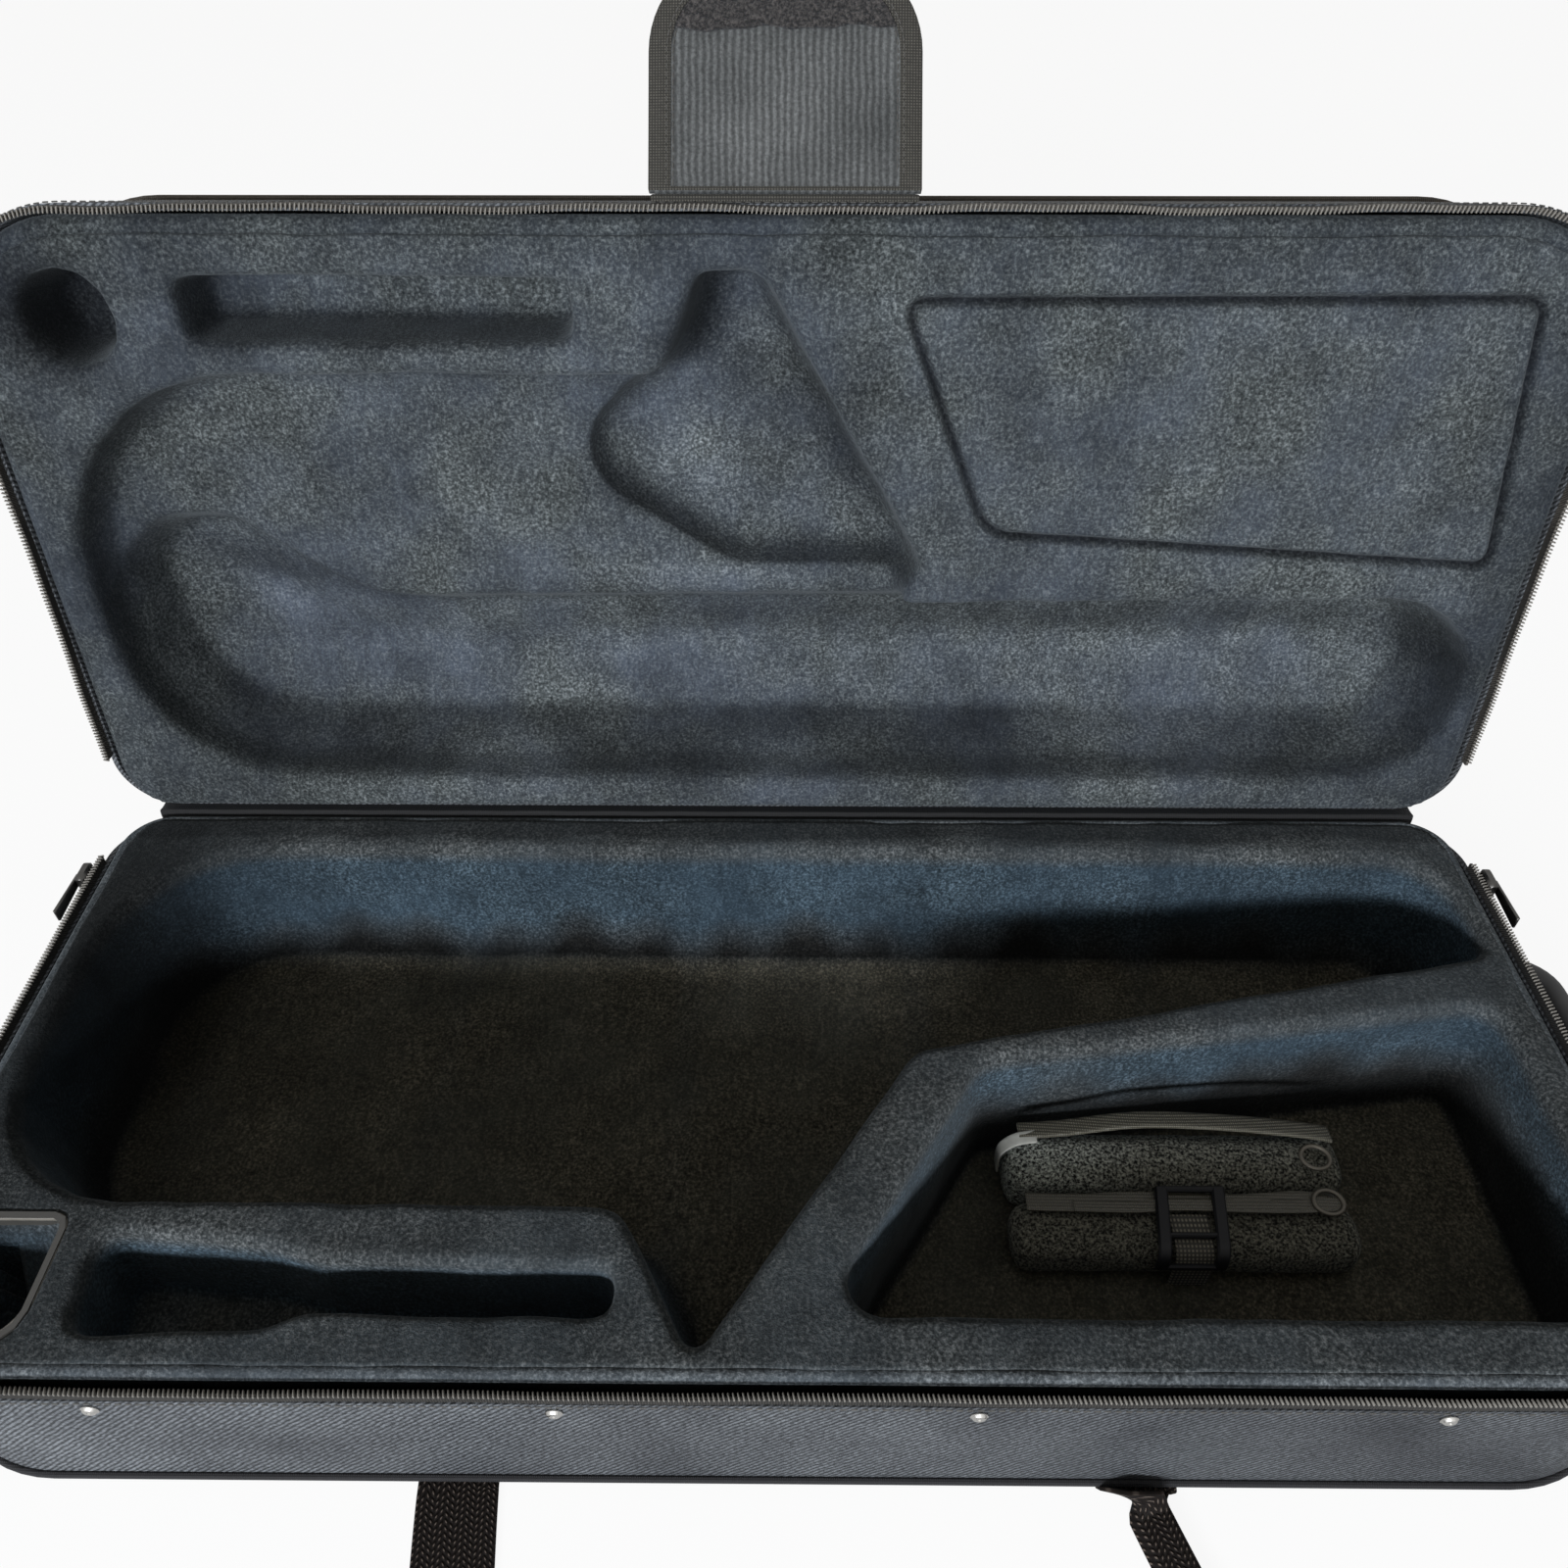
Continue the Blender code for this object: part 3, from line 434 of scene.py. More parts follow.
def makeTwill():
    look = newMaterial("greyNylonTwill", 0.62, sheen=0.05, specular=0.12)
    where = objectPlace(look)
    # the real twill's lines stand about 1 mm apart, drawn coarser so that they show
    diagonal = wave(look, objectPlace(look, turn=(180, 0, 0)), 2.8, "DIAGONAL", 2.4)
    color = ramp(look, noise(look, where, 60, 3.0), (0.3, "#35373a"), (0.7, "#515457"))
    color = mottle(look, color, diagonal, (0.15, 0.42), (0.75, 1.45))
    flecks = noise(look, where, 1.7, 2.0, 0.7)
    color = mottle(look, color, flecks, (0.36, 0.50), (0.64, 1.50), 0.9)
    # painted light: paler toward the left end, where more light falls
    color = dim(look, color, ease(look, split(look, where)["X"], -0.32, 0.28, 1.42, 0.86))
    height = plus(look, diagonal, wave(look, where, 0.8, "X"), 0.3)
    height = plus(look, height, noise(look, where, 18, 1.0), 0.4)
    return dress(look, color, height, 0.25, 0.7)


def makeWoven(name, color, light, pitch, roughness=0.75):
    # A plain weave in two directions over the piece
    look = newMaterial(name, roughness, sheen=0.1, specular=0.3)
    where = objectPlace(look)
    along = wave(look, objectPlace(look, turn=(45, 0, 0)), pitch, "Z")
    weave = maths(look, "MULTIPLY", wave(look, where, pitch, "X"), along)
    mixed = ramp(look, weave, (0.1, color), (0.8, light))
    color = mottle(look, mixed, noise(look, where, 1.4, 2.0), (0.3, 0.75), (0.75, 1.2), 0.7)
    return dress(look, color, weave, 0.2)


def makeWebbing():
    # Herringbone strap cloth on the strip's own map, in metres: U along it, V across it
    look = newMaterial("blackPolyWebbing", 0.7, sheen=0.04, specular=0.12)
    spot = split(look, addNode(look, "UVMap", uv_map="strip").outputs["UV"])
    slant = plus(look, spot["X"], maths(look, "PINGPONG", spot["Y"], 0.0036), 0.9)
    dots, ribs = (
        maths(look, "SINE", maths(look, "MULTIPLY", way, 2 * math.pi / pitch))
        for way, pitch in ((slant, 0.0022), (spot["Y"], 0.0018))
    )
    weave = maths(look, "MULTIPLY", maths(look, "ADD", dots, 1.0), maths(look, "ADD", ribs, 1.3))
    level = maths(look, "MULTIPLY", weave, 0.22)
    color = ramp(look, level, (0.1, "#0f0b09"), (0.6, "#1b1512"), (0.95, "#6a6058"))
    return dress(look, color, weave, 0.12)


def makeRibbed():
    # Fine ribs up the flap, spaced slightly unevenly
    look = newMaterial("ribbedFlapCloth", 0.8, sheen=0.15, specular=0.25)
    where = objectPlace(look)
    ribs = wave(look, where, 2.6, "X", 2.2)
    flecks = noise(look, where, 1.1, 3.0, 0.7)
    color = ramp(look, noise(look, where, 30, 2.0), (0.3, "#484a4a"), (0.7, "#5d5f5f"))
    color = mottle(look, color, ribs, (0.1, 0.55), (0.8, 1.18), 0.9)
    color = mottle(look, color, flecks, (0.34, 0.6), (0.66, 1.4), 0.85)
    return dress(look, color, plus(look, ribs, flecks, 0.4), 0.5)


def makePile(name, dark, light, size, depth, sheen=0.3, litTint=None):
    look = newMaterial(name, 0.95, sheen=sheen, specular=0.15)
    where = objectPlace(look)
    grain = noise(look, where, size, 4.0, 0.7)
    color = ramp(look, grain, (0.42, dark), (0.68, light))
    if litTint:
        # painted light: paler toward the rear pad's left end, where light falls on its top
        spot = split(look, where)
        left = ease(look, spot["X"], 0.095, 0.150, 1.0, 0.15)
        rear = ease(look, spot["Y"], -0.044, -0.036, 0.0, 1.0)
        color = blendColor(look, maths(look, "MULTIPLY", left, rear), color, litTint)
    return dress(look, color, grain, depth, 1.0)


def makeSmooth(name, color, roughness, metal=0.0, specular=0.5):
    # Moulded plastic or plated metal with faint scuffs
    look = newMaterial(name, roughness, metal=metal, specular=specular)
    where = objectPlace(look)
    scuffs = noise(look, where, 3.0, 4.0, 0.6)
    scratch = 0.06
    level = maths(look, "MULTIPLY", scuffs, scratch * 2)
    toShader(look, "Roughness", maths(look, "ADD", level, roughness - scratch))
    color = mottle(look, color, scuffs, (0.3, 0.88), (0.7, 1.08))
    return dress(look, color, noise(look, where, 1.2, 2.0), 0.03, 0.5)


# Painted shade toward the edges, as (axis, near, far, tone at the near end): the lid's ends and
# top, the base's left end and hinge side
lidEdges = (("X", -0.30, -0.15, 0.70), ("X", 0.31, 0.27, 0.54), ("Z", 0.335, 0.30, 0.78))
baseEdges = (("X", -0.31, -0.20, 0.42), ("Y", 0.1185, 0.1145, 0.52))
lidGreys = ("#1d2021", "#454a4b", "#797f80", "#3e4551")
baseGreys = ("#171a1b", "#424647", "#757879", "#3b4247")
plushes = {
    "lid": makePlush("slatePlushNap", *lidGreys, lidEdges),
    "base": makePlush("deepSlatePlushNap", *baseGreys, baseEdges, baseTints),
}
beadCloth = makePlush("plushBead", "#2a2d2f", "#52575a", "#84898c", "#464e55")
twill = makeTwill()
# The zip tape in two copies: lighter on the lid as painted light, darker on the base as painted
# shade
tapeCloths = {
    "lid": makeWoven("zipTapePaintedLit", "#3a3733", "#69645d", 0.9),
    "base": makeWoven("zipTapePaintedShade", "#171614", "#3f3c37", 0.9),
}
# The lid's piping is painted lighter than the base's, as painted light on the lid's top edge
cordCloths = {
    "lid": makeWoven("pipingClothPaintedLit", "#58534e", "#8f8981", 0.8),
    "base": makeWoven("blackPipingCloth", "#141416", "#2c2c2f", 0.8),
}
coilNylon = makeSmooth("paleNylonCoil", "#817e78", 0.6, specular=0.1)
nickelPlate = makeSmooth("darkNickelPlate", "#4b4a48", 0.35, metal=1.0)
ringNickel = makeSmooth("dullNickelRing", "#4d4941", 0.55, metal=0.6)
brightNickel = makeSmooth("brightNickelPlate", "#c9c7c2", 0.25, metal=1.0)
cupPlastic = makeSmooth("greyMouldedPlastic", "#3c3b38", 0.4)
# The lip is paler plastic than the cup, lightened further as a painted highlight along the rim
cupLipPlastic = makeSmooth("paleCupLipPlastic", "#6f6c65", 0.4)
gripRubber = makeSmooth("blackGripRubber", "#161617", 0.6)
strapCloth = makeWebbing()
flapCloth = makeRibbed()
bindingCloth = makeWoven("taupeBindingTape", "#2d2c29", "#5b5952", 1.0, 0.85)
hookPile = makePile("hookPile", "#232222", "#5c5856", 1.3, 1.2)
# the pad cloth's last value tints the painted light on the rear pad
padCloth = makePile("nubbyPadCloth", "#050504", "#a9a99c", 1.1, 0.9, 0.12, (2.4, 2.6, 2.9, 1))
bandCloth = makeWoven("taupeStrapBand", "#37352d", "#716e61", 0.9, 0.42)
curlCloth = makeSmooth("paleBandEnd", "#a3a49e", 0.4)
strapPlastic = makeSmooth("blackBucklePlastic", "#0b0b0d", 0.5, specular=0.15)
stitchThread = makeSmooth("greyStitchThread", "#4c4b48", 0.8)
hingeCloth = makeWoven("blackHingeCloth", "#0c0c0d", "#1b1c1e", 1.1)
patchCloth = makeWoven("blackPatchWebbing", "#131110", "#2a2725", 1.4)
keeperCloth = makeWoven("ribbedKeeperWebbing", "#2a2925", "#8c887c", 1.5)
print("materials made")

# Lining: plush over moulded foam
padding = {
    "voxel": 0.0022,
    "halfLength": 0.3055,
    "halfDepth": 0.126,
    "topSlope": 0.012,
    "capDepth": 0.0705,
    "capScale": (0.968, 0.935, 0),
    "cupX": (-0.3045, -0.245),
    "cupY": (-0.1212, -0.066),
    "cupDepth": 0.0515,
    "ripple": 0.0018,
    "rippleSize": 0.028,
    "rounds": 5,
    "hollowRounds": 9,
    "hollowFade": (0.004, 0.012),
    "rimSide": 0.995,
    "hiddenBelow": (-0.4, -0.055),
    "hiddenSide": (-0.013, 0.9, 0.35),
    "seamRoom": 0.0001,
}

# The line pressed round the lid's flat panel: x, y and rounding of each corner
groove = {
    "corners": (
        (0.0441, 0.1007, 0.010),
        (0.2778, 0.1018, 0.008),
        (0.2911, -0.0042, 0.008),
        (0.0819, 0.0095, 0.012),
    ),
    "depth": 0.0026,
    "halfWidth": 0.0016,
    "reach": 0.006,
    "lip": 0.00035,
    "lipPlace": 1.8,
    "dark": 0.85,
    "darkReach": 0.0019,
    "step": 0.0005,
    "deepest": -0.008,
}

# Patches of painted shade (amount above nought) and painted light (below nought):
# x and y of the middle, reach along and across, turn, amount
lightAndShadeMarks = {
    "lid": (
        (-0.276, 0.094, 0.026, 0.024, 0, 0.80),
        (-0.034, 0.087, 0.013, 0.020, 20, 0.55),
        (0.028, 0.024, 0.009, 0.042, -27, 0.36),
        (-0.062, 0.010, 0.030, 0.004, 31, 0.35),
        (-0.212, 0.092, 0.012, 0.016, 0, 0.40),
        (-0.152, 0.086, 0.078, 0.005, 0, 0.45),
        (0.000, 0.055, 0.045, 0.045, 0, 0.30),
        (-0.085, 0.035, 0.030, 0.030, 0, 0.12),
        (0.200, -0.082, 0.120, 0.018, 0, -0.11),
        (-0.060, -0.082, 0.120, 0.016, 0, -0.05),
        (-0.195, -0.108, 0.018, 0.012, 0, 0.26),
        (-0.054, -0.118, 0.024, 0.010, 0, 0.28),
        (0.090, -0.105, 0.022, 0.010, 0, 0.18),
        (0.110, -0.051, 0.200, 0.012, 0, 0.36),
        (-0.225, -0.028, 0.060, 0.010, 15, 0.34),
        (-0.238, -0.047, 0.018, 0.009, 28, -0.22),
        (-0.037, 0.024, 0.022, 0.014, 20, -0.10),
        (-0.048, -0.021, 0.050, 0.006, 0, -0.14),
        (-0.131, -0.116, 0.030, 0.010, 0, -0.14),
        (0.000, -0.119, 0.025, 0.010, 0, -0.14),
        (0.170, -0.106, 0.050, 0.012, 0, -0.14),
    ),
    "base": (
        (-0.292, 0.055, 0.034, 0.062, 0, 0.72),
        (0.075, 0.020, 0.050, 0.012, 20, -0.10),
        (0.012, -0.060, 0.016, 0.070, 34, -0.10),
    ),
}


def closeBelow(obj):
    # Every open edge runs down to one level, drawn in a little, and is capped
    loops = openEdges(obj)
    choose(obj, "EDGE", lambda edge: edge.index in loops)
    extrude("EDGE", (0, 0, -0.001))
    level = (0, 0, -padding["capDepth"])
    bpy.ops.transform.resize(value=padding["capScale"], center_override=level)
    bpy.ops.mesh.edge_face_add()
    objectMode()


def closeCupHole(obj):
    # The accessory cup's hole becomes a blind one
    loops = openEdges(obj)
    verts = obj.data.vertices
    (left, right), (front, back) = padding["cupX"], padding["cupY"]

    def onHole(edge):
        spots = [verts[i].co for i in edge.vertices]
        inside = all(left < p.x < right and front < p.y < back for p in spots)
        return edge.index in loops and inside

    choose(obj, "EDGE", onHole)
    extrude("EDGE", (0, 0, -padding["cupDepth"]))
    bpy.ops.mesh.merge(type="CENTER")
    objectMode()


def sideShare(x, y):
    return max(abs(x) / padding["halfLength"], abs(y) / padding["halfDepth"])


# How the painted shade and painted light follow depth and slope, as (start, span) of a fade
shadingByDepth = {
    "rim": (0.004, 0.006),
    "wall": (-0.93, 0.5),
    "lidWallShare": 0.40,
    "lidFloor": (0.030, 0.012),
    "lidFlat": (0.86, 0.1),
    "lidFloorShare": 0.08,
    "shallow": (0.020, 0.020),
    "deep": (0.042, 0.020),
    "flat": (0.80, 0.15),
    "paleClears": 0.8,
}


def paintLightAndShade(obj, half):
    # Painted shade on the hollows' walls and painted light on their floors, kept as attributes
    labels = ("paintedWallTone", "paintedFloorLight", "sunk")
    for label in labels:
        obj.data.attributes.new(label, "FLOAT", "POINT")
    paintedWallTone, paintedFloorLight, sunk = (obj.data.attributes[label].data for label in labels)
    normals = [n.vector.z for n in obj.data.vertex_normals]
    for vert, up in zip(obj.data.vertices, normals):
        x, y, z = vert.co
        dark = fade(-z, *shadingByDepth["rim"]) * fade(-up, *shadingByDepth["wall"])
        if half == "lid":
            dark *= shadingByDepth["lidWallShare"]
            deep = 0.0
            pale = fade(-z, *shadingByDepth["lidFloor"]) * fade(up, *shadingByDepth["lidFlat"]) * shadingByDepth["lidFloorShare"]
        else:
            # the base's walls get a bluish painted light above and painted shade low down, and the
            # floors a warm painted light
            inCompartment = y < 0.003 + (x - 0.078) * 0.138 and x > 0.062 + y * 0.6
            waver = 0.004 * math.sin(x * 61 + 1) + 0.003 * math.sin(x * 173)
            low = fade(waver - z, *shadingByDepth["shallow" if inCompartment else "deep"])
            flat = fade(up, *shadingByDepth["flat"])
            pale = low * flat
            deep = low * (1 - flat)
            dark *= 1 - low
        # patches of painted shade and painted light from the marks
        for markX, markY, along, over, turn, amount in lightAndShadeMarks[half]:
            off = Matrix.Rotation(math.radians(turn), 2) @ Vector((x - markX, y - markY))
            share = math.exp(-((off.x / along) ** 2 + (off.y / over) ** 2) ** 1.5)
            if amount < 0:
                pale -= amount * share
                dark *= 1 - share * shadingByDepth["paleClears"]
                deep *= 1 - share
            elif half == "lid":
                dark += (1 - dark) * amount * share
                pale *= 1 - amount * share
            else:
                deep += (1 - deep) * amount * share
        for data, value in ((paintedWallTone, dark), (paintedFloorLight, pale), (sunk, deep)):
            data[vert.index].value = value


def pressGroove(obj):
    corners = [(Vector((x, y, 0)), rounding) for x, y, rounding in groove["corners"]]
    spots = []
    for i, (corner, rounding) in enumerate(corners):
        before = corners[i - 1][0]
        after, nextRounding = corners[(i + 1) % len(corners)]
        start = corner + (before - corner).normalized() * rounding
        end = corner + (after - corner).normalized() * rounding
        for step in range(17):
            u = step / 16
            spots.append(start * (1 - u) ** 2 + corner * 2 * u * (1 - u) + end * u**2)
        target = after + (corner - after).normalized() * nextRounding
        count = int((target - end).length / groove["step"])
        spots += [end.lerp(target, step / count) for step in range(1, count)]
    tree = kdtree.KDTree(len(spots))
    for i, spot in enumerate(spots):
        tree.insert(spot, i)
    tree.balance()

    def away(co):
        return tree.find(Vector((co.x, co.y, 0)))[2]

    def nearLine(face):
        level = face.normal.z > 0.8 and face.center.z > groove["deepest"]
        return level and away(face.center) < groove["reach"]

    choose(obj, "FACE", nearLine)
    bpy.ops.mesh.subdivide(number_cuts=3, smoothness=0)
    objectMode()
    paintedWallTone = obj.data.attributes["paintedWallTone"].data
    for vert in obj.data.vertices:
        distance = away(vert.co)
        share = distance / groove["halfWidth"]
        if vert.co.z >= groove["deepest"] and share < groove["lipPlace"] + 0.8:
            # a soft valley with slightly raised lips
            lips = groove["lip"] * math.exp(-((share - groove["lipPlace"]) ** 2) * 4)
            vert.co.z -= groove["depth"] * math.exp(-share * share) - lips
            # painted shade in the groove, kept in the wall tint
            dark = groove["dark"] * math.exp(-((distance / groove["darkReach"]) ** 2))
            paintedWallTone[vert.index].value = max(paintedWallTone[vert.index].value, dark)


def makeLining(half):
    name = half + "Plush"
    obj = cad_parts[half + "_lining"].copy()
    obj.data = obj.data.copy()
    bpy.context.scene.collection.objects.link(obj)
    obj.parent = None
    obj.matrix_world = Matrix.Identity(4)
    # both halves are worked alike, mouth up with the rim at height nought
    if half == "lid":
        toMouthUp = rotation(180, "X") @ shutLid.inverted()
    else:
        toMouthUp = Matrix.Translation((0, 0, -caseSize["baseHeight"]))
    place(obj, toMouthUp)
    faceOutwards(obj)
    # only the side that shows is kept
    erase(obj, "FACE", lambda face: face.normal.z < padding["topSlope"])
    if half == "base":
        closeCupHole(obj)
    closeBelow(obj)
    faceOutwards(obj)
    obj.data.remesh_voxel_size = padding["voxel"]
    pick(obj)
    bpy.ops.object.voxel_remesh()
    print(name, "remeshed", len(obj.data.vertices))

    # softness by depth: the rim stays crisp, the hollows flow into each other
    everywhere = obj.vertex_groups.new(name="everywhere")
    hollows = obj.vertex_groups.new(name="hollows")
    for vert in obj.data.vertices:
        x, y, z = vert.co
        inner = fade(-z, *padding["hollowFade"]) if sideShare(x, y) < padding["rimSide"] else 0.0
        hollows.add([vert.index], inner, "REPLACE")
        everywhere.add([vert.index], 1.0, "REPLACE")
    for where, rounds in (("everywhere", padding["rounds"]), ("hollows", padding["hollowRounds"])):
        modify(obj, "SMOOTH", factor=0.5, iterations=rounds, vertex_group=where)
    cloud = bpy.data.textures.new(name + "Nap", "CLOUDS")
    cloud.noise_scale = padding["rippleSize"]
    cloud.noise_depth = 1
    ripple = modify(obj, "DISPLACE", texture=cloud, texture_coords="LOCAL", mid_level=0.5)
    ripple.strength = padding["ripple"]
    ripple.vertex_group = "everywhere"
    applyAll(obj)

    def hidden(face):
        x, y, z = face.center
        out = Vector((x / padding["halfLength"], y / padding["halfDepth"], 0)).normalized()
        slope, level = padding["hiddenBelow"]
        top, side, outward = padding["hiddenSide"]
        below = face.normal.z < slope and z < level
        return below or (z < top and sideShare(x, y) > side and face.normal.dot(out) > outward)

    # the hidden underside goes back to a few faces
    erase(obj, "FACE", hidden)
    closeBelow(obj)
    for vert in obj.data.vertices:
        vert.co.z = min(vert.co.z, -padding["seamRoom"])
    paintLightAndShade(obj, half)
    if half == "lid":
        pressGroove(obj)
    faceOutwards(obj)
    place(obj, toMouthUp.inverted())
    obj.vertex_groups.clear()
    nodes = (half + "_lining", half + "_foam")
    finishPiece(obj, name, plushes[half], half, "plush_lining", *nodes, sharp=180)
    print(name, "faces", len(obj.data.polygons))


makeLining("base")
makeLining("lid")

# Shells in grey twill
shell = {"thickness": 0.0025, "edge": 0.009, "segments": 6, "gap": 0.0001}


def makeShell(half, height, draft):
    obj = rimOutline(0, points=16)
    # the rim's edge stops under the zip
    shift(obj, 0, 0, -wallDrop)
    choose(obj)
    extrude("FACE", (0, 0, -(height - wallDrop)))
    inset = draft * (height - wallDrop)
    taper = (1 - inset / halfLength, 1 - inset / halfDepth, 1)
    bpy.ops.transform.resize(value=taper, center_override=(0, 0, 0))
    objectMode()
    low = -height + shell["gap"]
    verts = obj.data.vertices
    roundOff(obj, shell["edge"], shell["segments"], "EDGE",
             lambda edge: all(verts[i].co.z < low for i in edge.vertices))
    rim = -wallDrop - shell["gap"]
    erase(obj, "FACE", lambda face: face.center.z > rim and abs(face.normal.z) > 0.9)
    faceOutwards(obj)
    modify(obj, "SOLIDIFY", thickness=shell["thickness"], offset=-1)
    applyAll(obj)
    intoHalf(obj, half)
    name = half + "ShellCover"
    finishPiece(obj, name, twill, half, "shell_twill", half + "_shell", sharp=40)


makeShell("base", caseSize["baseHeight"], 0)
makeShell("lid", caseSize["lidHeight"], math.tan(math.radians(caseSize["draft"])))
print("shells made")

# Beads, piping and zip; beads: inset, depth, radius, rear inset; cords: inset, depth
trim = {
    "beads": {"base": (0.0086, 0.0034, 0.0028, 0.0034), "lid": (0.0088, 0.0076, 0.0050, 0.0056)},
    "cords": {"base": (-0.00034, 0.07287), "lid": (0.00961, 0.06908)},
    "cordRadius": 0.0015,
    "zipEnd": 0.1045,
    "sway": {"base": 0.00022, "lid": 0.0006},
    "tapeInset": 0.0009,
    "tapeThickness": 0.0012,
    "tapeTop": 0.0018,
    "tapeLow": 0.0057,
    "toothPitch": 0.0016,
    "toothDepth": 0.00078,
    "tooth": (0.00056, 0.0026, 0.0012),
    "stitchPitch": 0.0034,
    "stitchDepth": 0.0078,
    "stitch": (0.0022, 0.0005, 0.0006),
}


def makeRimCord(obj, half, depth, radius, name, cloth, slot, node):
    obj = toCord(obj, radius)
    shift(obj, 0, 0, -depth)
    intoHalf(obj, half)
    finishPiece(obj, half + name, cloth, half, slot, half + node, sharp=180)


def makeCords(half):
    inset, depth, radius, rearInset = trim["beads"][half]
    cloth = plushes["lid"] if half == "lid" else beadCloth
    outline = rimOutline(inset, rearInset)
    makeRimCord(outline, half, depth, radius, "RimBead", cloth, "lining_bead", "_rim_bead")
    inset, depth = trim["cords"][half]
    outline = rimOutline(0 if half == "lid" else inset)
    if half == "lid":
        # the drafted wall draws its outline in by scale
        place(outline, Matrix.Diagonal((1 - inset / halfLength, 1 - inset / halfDepth, 1, 1)))
    radius, cloth = trim["cordRadius"], cordCloths[half]
    makeRimCord(outline, half, depth, radius, "PipingCord", cloth, "piping", "_piping")


def zipPath(inset, depth, end, sway):
    # The zip's line as a flat open curve
    obj = rimOutline(inset, points=16)
    dropFaces(obj)
    erase(obj, "VERT", lambda co: co.y > 0.09)
    # the two side walls run on to the zip's ends
    used = {}
    for edge in obj.data.edges:
        for vert in edge.vertices:
            used[vert] = used.get(vert, 0) + 1
    tips = [v.co.copy() for v in obj.data.vertices if used.get(v.index, 0) == 1]
    choose(obj, "VERT", lambda co: any((co - tip).length < 1e-7 for tip in tips))
    extrude("VERT", (0, 0.001, 0))
    objectMode()
    for vert in obj.data.vertices:
        if vert.co.y > -0.0773:
            vert.co.y = end

    def length(edge):
        first, second = (obj.data.vertices[i].co for i in edge.vertices)
        return (first - second).length

    for cuts, shortest, longest in ((22, 0.15, 0.3), (70, 0.4, 0.6)):
        choose(obj, "EDGE", lambda edge: shortest < length(edge) < longest)
        bpy.ops.mesh.subdivide(number_cuts=cuts)
        objectMode()
    # sewn tape never runs quite straight
    for vert in obj.data.vertices:
        x, y, z = vert.co
        run = x if y < -0.1 else y
        swing = sway * (math.sin(run * 46 + 0.7) + 0.45 * math.sin(run * 131 + 2))
        if y < -0.128:
            vert.co.y += swing
        elif y > -0.076:
            vert.co.x -= swing * math.copysign(0.6, x)
    shift(obj, 0, 0, -depth)
    return obj


def repeatAlong(obj, path, pitch):
    # The small piece repeated along a path, then one mesh
    pick(path)
    bpy.ops.object.convert(target="CURVE")
    path.data.dimensions = "3D"
    path.data.twist_mode = "Z_UP"
    run = sum(
        (Vector(a.co[:3]) - Vector(b.co[:3])).length
        for spline in path.data.splines
        for a, b in zip(spline.points, spline.points[1:])
    )
    array = modify(obj, "ARRAY", use_relative_offset=False, use_constant_offset=True)
    array.constant_offset_displace = (pitch, 0, 0)
    array.count = int(run / pitch)
    modify(obj, "CURVE", object=path, deform_axis="POS_X")
    applyAll(obj)
    bpy.data.objects.remove(path, do_unlink=True)
    return obj


def makeZip(half):
    inset, sway, end = trim["tapeInset"], trim["sway"][half], trim["zipEnd"]
    tape = zipPath(inset, trim["tapeTop"], end, sway)
    choose(tape, "EDGE", lambda edge: True)
    extrude("EDGE", (0, 0, trim["tapeTop"] - trim["tapeLow"]))
    objectMode()
    faceOutwards(tape, merge=False)
    modify(tape, "SOLIDIFY", thickness=trim["tapeThickness"], offset=0)
    applyAll(tape)
    faceOutwards(tape)
    intoHalf(tape, half)
    name, node = half + "ZipTape", half + "_zip_tape"
    finishPiece(tape, name, tapeCloths[half], half, "zip_tape", node, sharp=40)

    path = zipPath(inset, trim["toothDepth"], end - 0.0005, sway)
    coil = repeatAlong(smallBlock(trim["tooth"], 0.35, 14), path, trim["toothPitch"])
    intoHalf(coil, half)
    name, node = half + "ZipCoil", half + "_zip_teeth"
    finishPiece(coil, name, coilNylon, half, "zip_teeth", node, sharp=50)

    path = zipPath(-0.0001, trim["stitchDepth"], end - 0.002, 0)
    row = repeatAlong(smallBlock(trim["stitch"], 0.35), path, trim["stitchPitch"])
    intoHalf(row, half)
    finishPiece(row, half + "TapeStitches", stitchThread, half, "zip_tape")


for half in ("base", "lid"):
    makeCords(half)
    makeZip(half)
print("trims and zip made")

# Cloth hinge; gap: between the cloth's middle and the walls
hinge = {"halfRun": 0.2985, "thickness": 0.001, "low": 0.0215, "gap": 0.0009, "steps": 90}


